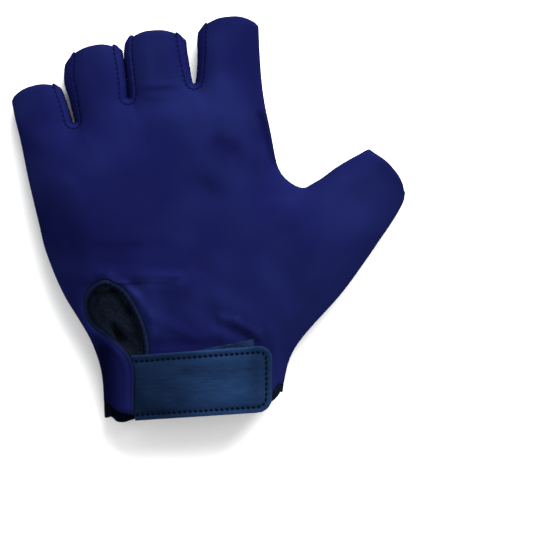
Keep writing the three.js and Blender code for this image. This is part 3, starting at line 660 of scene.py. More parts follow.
def smooth_path(points: Sequence[Vector], step: float) -> list[Vector]:
    """Points at a near even step along a smooth curve through some points.

    Args:
        points: two or more points that the curve runs through.
        step: the wanted distance between the returned points.

    Returns:
        The points, both ends included.
    """
    path = [points[0] * 2 - points[1], *points, points[-1] * 2 - points[-2]]
    fine: list[Vector] = []
    for k in range(1, len(path) - 2):
        before, a, b, after = path[k - 1:k + 3]
        for j in range(12):
            t = j / 12
            fine.append(0.5 * (
                2 * a + (b - before) * t + (2 * before - 5 * a + 4 * b - after) * t * t
                + (3 * a - before - 3 * b + after) * t ** 3
            ))
    fine.append(path[-2].copy())
    return even_path(fine, step)


def even_path(points: Sequence[Vector], step: float) -> list[Vector]:
    """Points at an even step along a polyline.

    Args:
        points: the polyline's corners.
        step: the wanted distance between the returned points.

    Returns:
        The points, both ends included.
    """
    runs = [0.0]
    for a, b in zip(points, points[1:]):
        runs.append(runs[-1] + (b - a).length)
    count = max(1, round(runs[-1] / step))
    found = []
    k = 1
    for j in range(count + 1):
        wanted = runs[-1] * j / count
        while k < len(runs) - 1 and runs[k] < wanted:
            k += 1
        share = (wanted - runs[k - 1]) / max(1e-12, runs[k] - runs[k - 1])
        found.append(points[k - 1].lerp(points[k], clamp01(share)))
    return found


def point_tree(points: Sequence[Sequence[float]]) -> KDTree:
    """A search tree over points.

    Args:
        points: the points, which the tree numbers in their order.

    Returns:
        The balanced tree.
    """
    tree = KDTree(len(points))
    for k, point in enumerate(points):
        tree.insert(point, k)
    tree.balance()
    return tree


class PlanSearch:
    """Finds the nearest of some points in plan."""

    def __init__(self, points: Iterable[Vector]) -> None:
        """Keeps the points in a search tree."""
        self.tree = point_tree([(point.x, point.y, 0.0) for point in points])

    def distance(self, place: Vector) -> float:
        """How far a place is from the nearest point."""
        return self.tree.find((place.x, place.y, 0.0))[2]

    def number(self, place: Vector) -> int:
        """The number of the point nearest to a place."""
        return self.tree.find((place.x, place.y, 0.0))[1]

    def fade(self, run: float, amount: float = 1.0) -> Callable[[Vector], float]:
        """An amount that fades out beside the points, for rubbed or rounded edges.

        Args:
            run: how far from the points it reaches.
            amount: how much it is at the points.

        Returns:
            A function of the place.
        """
        return lambda place: amount * (1.0 - ease(self.distance(place) / run))


class Part(Enum):
    """The parts of a wall, kept as the material numbers of its faces."""

    OUTER = 0
    RIM = 1
    INNER = 2
    TURNED = 3


class SoftWall:
    """A soft piece's closed wall in the making: a merged copy of its solid, smoothed and shaped."""

    flat_angles = {"angle_face_threshold": math.radians(60), "angle_shape_threshold": math.radians(70)}

    def __init__(self, node: str, facing: float = 1.0, corner: float = 50.0) -> None:
        """Copies and merges a node's mesh and finds its outer and inner side.

        Args:
            node: the solid's name.
            facing: 1 where its outer side looks up, -1 where it looks down.
            corner: the least angle in degrees between faces across an edge of the wall.
        """
        self.node = node
        self.bm = bmesh.new()
        self.bm.from_mesh(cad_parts[node].data)
        bmesh.ops.remove_doubles(self.bm, verts=self.bm.verts, dist=1e-6)
        bmesh.ops.join_triangles(self.bm, faces=self.bm.faces, **self.flat_angles)
        self._mark(facing, math.radians(corner))

    def _mark(self, facing: float, corner: float) -> None:
        """Numbers the faces by part and creases the edges between the parts.

        Args:
            facing: 1 where the outer side looks up, -1 where it looks down.
            corner: the least angle in radians between faces across an edge of the wall.
        """
        crease = self.bm.edges.layers.float.new("crease_edge")
        sharp = {edge for edge in self.bm.edges if edge.calc_face_angle(0.0) > corner}
        regions = self._regions(sharp)
        first, second = regions[0], regions[1]
        up = [sum(f.calc_area() * f.normal.z for f in region) * facing for region in (first, second)]
        outer, inner = (first, second) if up[0] > up[1] else (second, first)
        for face in self.bm.faces:
            face.material_index = Part.RIM.value
        for face in outer:
            face.material_index = Part.OUTER.value
        for face in inner:
            face.material_index = Part.INNER.value
        for edge in sharp:
            edge[crease] = 1.0

    def _regions(self, sharp: set[bmesh.types.BMEdge]) -> list[list[bmesh.types.BMFace]]:
        """The regions of faces that no sharp edge parts.

        Args:
            sharp: the edges at which a region ends.

        Returns:
            The regions, the largest first.
        """
        regions = []
        seen: set[bmesh.types.BMFace] = set()
        for start in self.bm.faces:
            if start in seen:
                continue
            seen.add(start)
            region = [start]
            for face in region:
                near = [f for e in face.edges if e not in sharp for f in e.link_faces if f not in seen]
                for f in near:
                    if f not in seen:
                        seen.add(f)
                        region.append(f)
            regions.append((sum(f.calc_area() for f in region), region))
        regions.sort(key=lambda item: -item[0])
        return [region for _, region in regions]

    def outline(self) -> list[Vector]:
        """The border of the outer side.

        Returns:
            The border as a closed walk, in millimetres.
        """
        outer = Part.OUTER.value
        border = {e for e in self.bm.edges if len({f.material_index == outer for f in e.link_faces}) == 2}
        start = next(iter(sorted(border, key=lambda e: (e.verts[0].co.x, e.verts[0].co.y))))
        walk = [start.verts[0], start.verts[1]]
        border.discard(start)
        while border:
            ahead = [e for e in walk[-1].link_edges if e in border]
            if not ahead:
                break
            border.discard(ahead[0])
            walk.append(ahead[0].other_vert(walk[-1]))
        return [v.co * (1 / MM) for v in walk]

    def subdivide(self, levels: int, passes: int = 3, pull: float = 0.9) -> "SoftWall":
        """Smooths the wall by subdivision so that it still runs through the solid's own corners.

        Args:
            levels: the levels of subdivision.
            passes: how often the control points are moved before it.
            pull: the share of the distance to its corner that a control point moves in a pass.

        Returns:
            The wall.
        """
        goals = [v.co.copy() for v in self.bm.verts]
        for _ in range(passes):
            reached = self._divided(1)
            for vertex, goal in zip(self.bm.verts, goals):
                vertex.co += (goal - reached.vertices[vertex.index].co) * pull
            bpy.data.meshes.remove(reached)
        result = self._divided(levels)
        self.bm.free()
        self.bm = bmesh.new()
        self.bm.from_mesh(result)
        bpy.data.meshes.remove(result)
        return self

    def _divided(self, levels: int) -> bpy.types.Mesh:
        """The mesh after a Subdivision Surface modifier.

        Args:
            levels: the modifier's levels.

        Returns:
            A new mesh.
        """
        self.bm.verts.index_update()
        mesh = bpy.data.meshes.new("blank")
        self.bm.to_mesh(mesh)
        for _ in Part:
            mesh.materials.append(None)
        holder = bpy.data.objects.new("blank", mesh)
        bpy.context.scene.collection.objects.link(holder)
        modifier = holder.modifiers.new("smooth", "SUBSURF")
        modifier.levels = levels
        modifier.render_levels = levels
        graph = bpy.context.evaluated_depsgraph_get()
        result = bpy.data.meshes.new_from_object(holder.evaluated_get(graph))
        bpy.data.objects.remove(holder)
        bpy.data.meshes.remove(mesh)
        return result

    def refine(self, near: Callable[[Vector], bool], part: Part = Part.OUTER) -> "SoftWall":
        """Splits the faces of a part whose middle is near something that needs more detail.

        Args:
            near: tells whether a place in millimetres is near it.
            part: the part whose faces are split.

        Returns:
            The wall.
        """
        self.bm.edges.index_update()
        faces = [f for f in self.bm.faces if f.material_index == part.value]
        chosen = [f for f in faces if near(f.calc_center_median() / MM)]
        edges = sorted({e for f in chosen for e in f.edges}, key=lambda e: e.index)
        bmesh.ops.subdivide_edges(self.bm, edges=edges, cuts=1, use_grid_fill=True)
        return self

    def uncrease(self) -> "SoftWall":
        """Takes the creases off, so that the subdivision rounds the whole wall.

        Returns:
            The wall.
        """
        crease = self.bm.edges.layers.float["crease_edge"]
        for edge in self.bm.edges:
            edge[crease] = 0.0
        return self

    def soften_rims(self, factor: float = 0.5, repeats: int = 2) -> "SoftWall":
        """Rounds the corners between the parts.

        Args:
            factor: how far each vertex there moves to the middle of its neighbours.
            repeats: how often it moves.

        Returns:
            The wall.
        """
        for _ in range(repeats):
            rims = [v for v in self.bm.verts if len({f.material_index for f in v.link_faces}) > 1]
            bmesh.ops.smooth_vert(
                self.bm, verts=rims, factor=factor, use_axis_x=True, use_axis_y=True, use_axis_z=True,
            )
        return self

    def swell(self, height: Callable[[Vector], float], part: Part | None = None) -> "SoftWall":
        """Moves vertices along their normals.

        Args:
            height: the height in millimetres at a place.
            part: the part whose own vertices move, or all vertices where none is named.

        Returns:
            The wall.
        """
        self.bm.normal_update()
        moves = []
        for vertex in self.bm.verts:
            numbers = {f.material_index for f in vertex.link_faces}
            if part is None or numbers == {part.value}:
                moves.append((vertex, vertex.normal * (height(vertex.co / MM) * MM)))
        for vertex, move in moves:
            vertex.co += move
        return self

    def shift(self, move: Callable[[Vector], Vector]) -> "SoftWall":
        """Moves all vertices by a vector in millimetres that depends on their place.

        Args:
            move: the vector at a place.

        Returns:
            The wall.
        """
        for vertex in self.bm.verts:
            vertex.co += move(vertex.co / MM) * MM
        return self

    def store(self, mark: Mark, number: Callable[[Vector], float]) -> "SoftWall":
        """Stores a number at each vertex for a finish to read.

        Args:
            mark: what the number stands for.
            number: the number at a place.

        Returns:
            The wall.
        """
        layer = self.bm.verts.layers.float.get(mark.value) or self.bm.verts.layers.float.new(mark.value)
        for vertex in self.bm.verts:
            vertex[layer] = number(vertex.co / MM)
        return self

    def tree(self) -> BVHTree:
        """A search tree over the wall's faces.

        Returns:
            The tree, in metres.
        """
        self.bm.normal_update()
        self.bm.faces.ensure_lookup_table()
        return BVHTree.FromBMesh(self.bm)

    def done(self, name: str, finishes: Sequence[Finish]) -> bpy.types.Object:
        """Makes the finished object, which stands for its node.

        Args:
            name: the object's name.
            finishes: the finish of the outer side, then of the rim and the inner side where they differ.

        Returns:
            The object, riding on the glove.
        """
        return piece_from(self.bm, name, finishes, self.node)


def piece_from(
    bm: bmesh.types.BMesh, name: str, finishes: Sequence[Finish], replaced: str | None = None,
) -> bpy.types.Object:
    """Makes a shaded object from a mesh in the making and hands it to the frame.

    Args:
        bm: the mesh, which is freed.
        name: the object's name.
        finishes: finishes by the faces' material number; the last one serves the numbers past it.
        replaced: the node that the piece stands for, if any.

    Returns:
        The object, riding on the glove.
    """
    mesh = bpy.data.meshes.new(name)
    for face in bm.faces:
        face.smooth = True
        face.material_index = min(face.material_index, len(finishes) - 1)
    bm.to_mesh(mesh)
    bm.free()
    for finish in finishes:
        mesh.materials.append(finish_of(finish))
    obj = bpy.data.objects.new(name, mesh)
    bpy.context.scene.collection.objects.link(obj)
    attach(obj, ROOT)
    if replaced:
        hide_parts(replaced)
    SLOTS.get(finishes[0], finishes[0].value)
    return obj


@dataclass(frozen=True)
class Fold:
    """A ridge or dent of the cloth, also used for bands of painted light and shade: its line in plan, its
    spread and its height.
    """

    x1: float
    y1: float
    x2: float
    y2: float
    spread: float
    height: float

    def at(self, place: Vector) -> float:
        """The fold's height at a place in plan, fading past both ends of its line.

        Args:
            place: the place in millimetres.

        Returns:
            The height.
        """
        dx, dy = self.x2 - self.x1, self.y2 - self.y1
        x, y = place.x - self.x1, place.y - self.y1
        t = clamp01((x * dx + y * dy) / (dx * dx + dy * dy))
        gone = math.hypot(x - dx * t, y - dy * t)
        return self.height * math.exp(-((gone / self.spread) ** 2))


@dataclass(frozen=True)
class Mottle:
    """Smooth noise in plan: its lumps' size across and along the hand, its layer and its height."""

    x_size: float
    y_size: float
    layer: float
    height: float

    def at(self, place: Vector) -> float:
        """The height at a place."""
        return self.height * noise.noise(Vector((place.x / self.x_size, place.y / self.y_size, self.layer)))


def sum_at(reliefs: Iterable[Union[Fold, Mottle]], place: Vector) -> float:
    """The sum of some folds or of some noise at a place."""
    return sum(relief.at(place) for relief in reliefs)


@dataclass
class SeamRow:
    """A row of stitches along a smooth line of a surface."""

    line: list[Vector]
    pitch: float = 2.15
    length: float = 1.65
    thick: float = 0.66
    sunk: float = 0.3
    slant: float = 0.0

    def samples(self) -> list[Vector]:
        """Points close together along the row, for its channel in the surface."""
        return smooth_path(self.line, 0.5)


class Channels:
    """The shallow channels that rows of stitches pull into a surface."""

    def __init__(self, rows: Iterable[SeamRow], depth: float, width: float) -> None:
        """Keeps the rows' points for the search.

        Args:
            rows: the rows of stitches.
            depth: how far the surface sinks in the middle of a channel.
            width: how wide a channel spreads to each side.
        """
        self.depth = depth
        self.width = width
        self.near = PlanSearch([point for row in rows for point in row.samples()])

    def distance(self, place: Vector) -> float:
        """How far a place is from the nearest row, in plan."""
        return self.near.distance(place)

    def share(self, place: Vector) -> float:
        """1 in the middle of a channel, 0 well away from it."""
        return math.exp(-((self.distance(place) / self.width) ** 2))

    def dip(self, place: Vector) -> float:
        """How far the surface sinks at a place."""
        return -self.depth * self.share(place)


class Needle:
    """Lays rows of stitches on a surface."""

    reach = 0.06
    ends = (0.3, 0.7)

    def __init__(
        self, name: str, tree: BVHTree, facing: float, start: float, thread: Finish = Finish.THREAD,
    ) -> None:
        """Keeps the surface and the side from which it is sewn.

        Args:
            name: the name of the piece that holds the stitches.
            tree: the search tree of the surface.
            facing: 1 for a surface seen from above, -1 for one seen from below.
            start: the height in millimetres from which the surface is looked for.
            thread: the finish of the thread.
        """
        self.name = name
        self.thread = thread
        self.tree = tree
        self.facing = facing
        self.start = start
        self.bm = bmesh.new()

    def _land(self, place: Vector) -> tuple[Vector, Vector] | None:
        """The surface under a place in plan.

        Args:
            place: the place in millimetres.

        Returns:
            The surface's point and normal in metres, or None past its edge.
        """
        origin = Vector((place.x, place.y, self.start)) * MM
        spot, normal, _, _ = self.tree.ray_cast(origin, Vector((0, 0, -self.facing)), self.reach)
        return None if spot is None else (spot, normal)

    def sew(self, rows: Iterable[SeamRow]) -> "Needle":
        """Lays each row's stitches, each a rounded bead that dips into the surface at its ends.

        Args:
            rows: the rows of stitches.

        Returns:
            The needle.
        """
        for row in rows:
            path = smooth_path(row.line, row.pitch)
            for a, b in zip(path, path[1:]):
                self._stitch(row, a, b)
        return self

    def _stitch(self, row: SeamRow, a: Vector, b: Vector) -> None:
        """Lays one stitch in the middle of a step of its row.

        Args:
            row: the row of stitches.
            a: the step's first point.
            b: the step's last point.
        """
        middle, near, far = (self._land(a.lerp(b, share)) for share in (0.5, *self.ends))
        if middle is None or near is None or far is None:
            return
        spot, normal = middle
        along = (far[0] - near[0]).normalized()
        if (far[0] - near[0]).length > (b - a).length * MM:
            return
        across = normal.cross(along).normalized()
        up = along.cross(across).normalized()
        spot = spot - up * (row.thick * (row.sunk - 0.5) * MM * 0.5)
        half = Vector((row.length, row.thick, row.thick)) * (MM / 2)
        turn = Matrix((along, across, up)).transposed().to_4x4() @ Matrix.Rotation(row.slant, 4, "Z")
        place = Matrix.Translation(spot) @ turn @ Matrix.Diagonal((*half, 1.0))
        bmesh.ops.create_uvsphere(self.bm, u_segments=8, v_segments=6, radius=1.0, matrix=place)

    def done(self) -> bpy.types.Object:
        """Makes the piece that holds all the stitches."""
        return piece_from(self.bm, self.name, [self.thread])


class Border:
    """The closed border of a panel in plan, from which rows are measured inward."""

    def __init__(self, walk: Sequence[Vector]) -> None:
        """Keeps the walk turning left, so that the panel is always on its left.

        Args:
            walk: the border's points in order, with the first again at the end or not.
        """
        closed = (walk[0] - walk[-1]).length < 1e-6
        self.walk = list(walk[:-1] if closed else walk)
        pairs = zip(self.walk, self.walk[1:] + self.walk[:1])
        if sum(a.x * b.y - a.y * b.x for a, b in pairs) < 0:
            self.walk.reverse()

    def nearest(self, spot: Plane) -> int:
        """Finds a point of the border.

        Args:
            spot: the spot in plan.

        Returns:
            The number of the border point nearest to it.
        """
        return min(
            range(len(self.walk)),
            key=lambda k: math.hypot(self.walk[k].x - spot[0], self.walk[k].y - spot[1]),
        )

    def run(self, start: Plane, end: Plane, depth: float, end_depth: float | None = None) -> list[Vector]:
        """A stretch of the border moved inward.

        Args:
            start: a spot near its first point.
            end: a spot near its last point, further round with the panel on the left.
            depth: how far inward, at the start.
            end_depth: how far inward at the end, where that differs.

        Returns:
            The points in plan.
        """
        first, last = self.nearest(start), self.nearest(end)
        count = (last - first) % len(self.walk)
        spots = [self.walk[(first + k) % len(self.walk)] for k in range(count + 1)]
        moved = []
        for k, spot in enumerate(spots):
            ahead = spots[min(k + 1, count)] - spots[max(k - 1, 0)]
            inward = Vector((-ahead.y, ahead.x, 0.0)).normalized()
            share = k / max(1, count)
            reach = depth if end_depth is None else depth + (end_depth - depth) * share
            moved.append(Vector((spot.x, spot.y, 0.0)) + inward * reach)
        return moved

    def search(self, step: float = 1.0) -> PlanSearch:
        """A search over close points of the border in plan."""
        loop = [Vector((p.x, p.y, 0.0)) for p in self.walk + self.walk[:1]]
        return PlanSearch(even_path(loop, step))


def band_middle(walk: Sequence[Vector], corner: float = 48.0) -> list[Vector]:
    """The middle line of a band.

    Args:
        walk: the closed walk along the band's border.
        corner: the least angle in degrees at which the walk turns round an end of the band.

    Returns:
        The middle line's points.
    """
    points = Border(walk).walk
    count = len(points)
    turns = []
    for k in range(count):
        back = (points[k] - points[k - 1]).to_2d()
        ahead = (points[(k + 1) % count] - points[k]).to_2d()
        if back.length > 0 and ahead.length > 0 and abs(back.angle_signed(ahead)) > math.radians(corner):
            turns.append(k)
    chains = []
    for start, end in zip(turns, turns[1:] + turns[:1]):
        span = (end - start) % count
        chains.append([points[(start + k) % count] for k in range(span + 1)])
    chains.sort(key=len, reverse=True)
    first, second = chains[0], list(reversed(chains[1]))
    steps = min(len(first), len(second))
    return [first[k].lerp(second[k], 0.5) for k in range(steps)]


class Course:
    """Measures a place along and across a line, for ribs that follow a band."""

    def __init__(self, line: Sequence[Vector]) -> None:
        """Keeps close points of the line with the direction of travel.

        Args:
            line: the line's points.
        """
        self.points = smooth_path(list(line), 0.4)
        self.step = (self.points[1] - self.points[0]).length
        self.tree = point_tree(self.points)

    def way(self, number: int) -> Vector:
        """The direction of travel at a point of the line, of no fixed length."""
        return self.points[min(len(self.points) - 1, number + 1)] - self.points[max(0, number - 1)]

    def along(self, place: Vector) -> float:
        """How far along the line a place is."""
        return self.tree.find(place)[1] * self.step

    def across(self, place: Vector) -> float:
        """How far beside the line a place is.

        Args:
            place: the place in millimetres.

        Returns:
            The distance, below zero on the line's right.
        """
        number = self.tree.find(place)[1]
        way = self.way(number).normalized()
        gone = place - self.points[number]
        side = way.x * gone.y - way.y * gone.x
        return math.copysign((gone - way * gone.dot(way)).length, side)

    def ribs(self, height: float, pitch: float) -> Callable[[Vector], float]:
        """The heights of ribs that cross the line.

        Args:
            height: how high they stand and how deep they dip.
            pitch: the distance from rib to rib.

        Returns:
            A function of the place.
        """
        return lambda place: height * math.sin(self.along(place) * 2 * math.pi / pitch)


@dataclass
class Drape:
    """How the back's cloth lies over the glove: its folds, dents and small ripples."""

    near: PlanSearch
    folds: tuple[Fold, ...] = (
        Fold(-44, -21.2, -12, -22.0, 1.15, 1.15),
        Fold(-38, -14.2, -12, -17.0, 3.6, 0.60),
        Fold(-29.8, -25.2, -14, -25.9, 1.2, -0.50),
        Fold(-33.0, -25.6, -28.6, -30.2, 1.6, 0.80),
        Fold(-28.6, -30.2, -23.0, -38.4, 1.6, 0.85),
        Fold(-23.0, -38.4, -21.4, -47.5, 1.6, 0.70),
        Fold(-19.1, -40.0, -6.5, -46.0, 1.7, 0.55),
        Fold(2.9, -41.4, 7.9, -42.6, 1.3, -0.35),
        Fold(7.9, -42.6, 14.9, -46.0, 1.2, -0.80),
        Fold(14.9, -46.0, 19.5, -49.0, 1.3, -0.55),
        Fold(4.5, -38.7, 10.9, -40.4, 1.2, 0.75),
        Fold(10.9, -40.4, 19.5, -45.6, 1.2, 0.80),
        Fold(1.5, -44.2, 10.9, -48.0, 1.5, 0.60),
        Fold(-21.0, -49.0, 4.2, -49.9, 1.5, -0.60),
        Fold(-30, 53.4, -11, 54.2, 0.9, 0.50),
        Fold(-30, 51.2, -13, 51.6, 0.9, -0.26),
        Fold(-29, 49.0, -16, 49.4, 1.0, 0.30),
        Fold(5, 30.8, 10, 29.2, 2.2, -0.50),
        Fold(-7, 15.6, -1, 13.8, 2.2, -0.28),
        Fold(-57, 15.5, -49, 9, 2.8, 0.22),
        Fold(-52.6, 36, -47, 30, 2.2, 0.40),
        Fold(-32.4, 45.8, -31, 38, 2.0, 0.40),
        Fold(-6, 52, -4, 44, 2.2, 0.35),
        Fold(-74, 33, -66, 30, 3.4, 0.45),
        Fold(20.6, 43, 25.8, 24, 1.3, -0.75),
        Fold(22.8, 42, 27.8, 24, 0.8, 0.30),
        Fold(34, 12, 30, 4, 2.6, -0.45),
        Fold(39, 12.4, 40, 4, 2.4, 0.35),
        Fold(-63, -10, -58, -26, 2.6, -0.45),
        Fold(24.5, -44, 28.5, -60, 1.9, 0.40),
    )
    ripples: tuple[Mottle, ...] = (Mottle(17.0, 14.0, 0.3, 0.144), Mottle(6.5, 9.0, 2.1, 0.09))
    side: float = 7.0

    def lift(self, place: Vector) -> float:
        """How far the cloth lies above the plain form.

        Args:
            place: the place in millimetres.

        Returns:
            The height, which fades out at the outline.
        """
        inside = ease(self.near.distance(place) / self.side)
        return (sum_at(self.folds, place) + sum_at(self.ripples, place)) * inside

    def move(self, place: Vector) -> Vector:
        """The lift as a vector."""
        return Vector((0.0, 0.0, self.lift(place)))


# The outer corner of the thumb's opening, how far it is drawn in and how far around it that reaches
CORNER: Plane = (79.4, 10.9)
CORNER_SHIFT = Vector((-1.0, 0.25, 0.0))
CORNER_REACH = 2.4


def blunt(place: Vector) -> Vector:
    """How far the corner of the thumb's opening is drawn in at a place."""
    gone = math.hypot(place.x - CORNER[0], place.y - CORNER[1])
    return CORNER_SHIFT * math.exp(-((gone / CORNER_REACH) ** 2))


def roll(distance: float, width: float) -> float:
    """The height of a rolled edge, 1 a little way in from the edge and 0 past its width."""
    t = clamp01(distance / width)
    return math.sin(math.pi * t) ** 1.5 if t < 1.0 else 0.0


# The ends of the three slits between the fingers, as stretches of the panels' borders
SLITS: tuple[tuple[Plane, Plane], ...] = (
    ((-1.3, 78.6), (-12.9, 74.8)),
    ((-30.8, 73.4), (-38.5, 69.7)),
    ((-53.9, 67.0), (-62.4, 54.3)),
)
Pieces = list[bpy.types.Object]


@dataclass
class BackPanel:
    """The stretch knit back with its turned edges and the seams beside the strips."""

    levels: int = 2
    tip_roll: float = 0.14
    tip_width: float = 2.6
    flap_roll: float = 0.55
    flap_width: float = 4.6
    flap_inset: float = 0.9
    flap_from: Plane = (-47.5, -40.5)
    flap_to: Plane = (-31.2, -73.1)
    flap_right: float = -27.0
    flap_top: float = -41.0
    cover_steps: tuple[tuple[float, float], ...] = ((-42.0, 0.8), (-50.0, 0.7))
    cover_run: float = 8.0
    cover_fade: float = 7.0
    fine_corner: Plane = (-30.0, -34.0)
    fine_width: float = 5.5
    rim_swell: float = 0.16
    seam_inset: float = 0.45
    # Painted light and shade: broad lighter and darker bands over the back, where light and shade fall
    light_and_shade_bands: tuple[Fold, ...] = (
        Fold(-66, 0, -36, -16, 11.0, -0.25),
        Fold(-72, 34, -58, 24, 6.5, -0.12),
        Fold(-24, 33, 0, 29, 5.5, -0.10),
        Fold(4, 31, 10, 29, 3.2, -0.20),
        Fold(-8, 16, 0, 13.5, 3.2, -0.06),
        Fold(-57, 15.5, -50, 9, 3.0, 0.07),
        Fold(17.5, 74, 19, 34, 4.5, -0.18),
        Fold(20.8, 42, 26.0, 24, 1.6, -0.38),
        Fold(72, 21, 79, 10, 5.5, -0.10),
        Fold(50, -30, 40, -42, 4.5, 0.12),
        Fold(2, 72, 5, 56, 6.0, 0.20),
        Fold(-14, 47, 2, 45, 6.0, 0.12),
        Fold(-76, 46, -72, 36, 4.0, 0.16),
        Fold(-52, 38, -30, 36, 6.0, -0.06),
        Fold(-50, 32, -48, 20, 5.5, -0.08),
        Fold(-20, 39, 2, 39, 5.0, -0.10),
        Fold(8, 26, 18, 22, 5.5, -0.15),
        Fold(-23, -24, -12, -24.5, 2.4, 0.20),
        Fold(58, 4, 68, 0, 7.0, 0.08),
        Fold(-8, -10, 6, -16, 6.0, 0.10),
        Fold(-42.0, -52, -42.5, -80, 5.2, -0.72),
        Fold(-49.5, -35, -46.5, -43, 2.4, 0.30),
        Fold(-8, -32, 2, -38, 5.0, 0.16),
        Fold(7, -39, 12, -41, 2.6, 0.22),
        Fold(-38.5, -22.8, -28.5, -29.5, 2.6, 0.36),
        Fold(-26.5, -32, -22.0, -44, 2.6, 0.16),
    )

    def _on_flap(self, place: Vector) -> bool:
        """Whether a place is on the flap beside the keyhole's slit."""
        return place.x < self.flap_right and place.y < self.flap_top

    def _cover(self, flap: Course, near_flap: PlanSearch, place: Vector) -> Vector:
        """How far the flap's edge is drawn over the binding's turned part.

        Args:
            flap: the line of the flap's edge.
            near_flap: the search over that line.
            place: the place in millimetres.

        Returns:
            The shift in millimetres.
        """
        if not self._on_flap(place):
            return Vector((0.0, 0.0, 0.0))
        way = flap.way(near_flap.number(place))
        outward = Vector((way.y, -way.x, 0.0)).normalized()
        reach = sum(part * ease((start - place.y) / self.cover_run) for start, part in self.cover_steps)
        return outward * (reach * (1.0 - ease(near_flap.distance(place) / self.cover_fade)))

    def build(self, drape: Drape) -> Pieces:
        """Builds the panel and its seam stitches.

        Args:
            drape: how the cloth lies.

        Returns:
            The stitches and the panel.
        """
        wall = SoftWall("back_panel")
        border = Border(wall.outline())
        flap = Course(border.run(self.flap_to, self.flap_from, 0.0))
        near_flap = PlanSearch(flap.points)
        edge = border.search(0.6)

        def swelling(place: Vector) -> float:
            """How far the cloth's rolled edge stands up.

            Args:
                place: the place in millimetres.

            Returns:
                The height.
            """
            if self._on_flap(place):
                return self.flap_roll * roll(near_flap.distance(place) + self.flap_inset, self.flap_width)
            return self.tip_roll * roll(edge.distance(place), self.tip_width)

        def needs_detail(place: Vector) -> bool:
            """Whether a place is beside the flap's edge."""
            right, top = self.fine_corner
            return place.y < top and place.x < right and near_flap.distance(place) < self.fine_width

        wall.subdivide(self.levels).soften_rims(0.5, 2).refine(needs_detail)
        wall.shift(lambda place: self._cover(flap, near_flap, place)).shift(blunt)
        wall.swell(swelling, Part.OUTER).swell(lambda place: self.rim_swell, Part.RIM).shift(drape.move)
        # Stores the painted light and shade for the finish
        wall.store(Mark.PAINTED_LIGHT_AND_SHADE, lambda place: sum_at(self.light_and_shade_bands, place))
        lines = [border.run(*slit, self.seam_inset) for slit in SLITS]
        seams = [SeamRow(line, pitch=2.0, length=1.1, thick=0.42, sunk=0.2, slant=0.5) for line in lines]
        needle = Needle("back_seam_stitches", wall.tree(), 1.0, ABOVE, Finish.NAVY_THREAD).sew(seams)
        panel_finishes = [Finish.CLOTH, Finish.CLOTH, Finish.LINING]
        return [needle.done(), wall.done("back_panel_cloth", panel_finishes)]


@dataclass
class Fourchette:
    """The strip of side knit between two fingers, with a raw corner at each fingertip."""

    node: str
    ears: tuple[Plane, Plane]
    fullness: float
    levels: int = 3
    corner: float = 58.0
    pucker: float = 0.16
    pucker_size: tuple[float, float, float] = (2.2, 2.6, 5.0)
    ear_height: float = 0.8
    ear_rise: float = 0.2
    ear_spread: float = 1.7
    seen_above: float = 8.0

    def _ear(self, place: Vector) -> Vector:
        """How far a raw corner stands out past the fingertip.

        Args:
            place: the place in millimetres.

        Returns:
            The shift in millimetres.
        """
        gone = min(math.hypot(place.x - x, place.y - y) for x, y in self.ears)
        share = math.exp(-((gone / self.ear_spread) ** 2)) * ease((place.z - self.seen_above) / 2.0)
        return Vector((0.0, self.ear_height, self.ear_rise)) * share

    def _puckers(self, place: Vector) -> float:
        """The height of the strip's fullness and puckers at a place."""
        spot = Vector([part / size for part, size in zip(place, self.pucker_size)])
        return self.fullness + self.pucker * noise.noise(spot)

    def build(self) -> Pieces:
        """Builds the strip, slightly puckered between its two seams.

        Returns:
            The strip alone.
        """
        wall = SoftWall(self.node, corner=self.corner).subdivide(self.levels).soften_rims(0.5, 2)
        wall.shift(self._ear).swell(self._puckers)
        return [wall.done(f"{self.node}_knit", [Finish.CLOTH_SIDE])]


FOURCHETTES = (
    Fourchette("fourchette_little_ring", ((-62.4, 53.9), (-54.4, 66.2)), 0.10),
    Fourchette("fourchette_ring_middle", ((-37.9, 69.6), (-31.6, 73.0)), 0.46),
    Fourchette("fourchette_middle_index", ((-12.4, 74.6), (-2.0, 78.2)), 0.10),
)


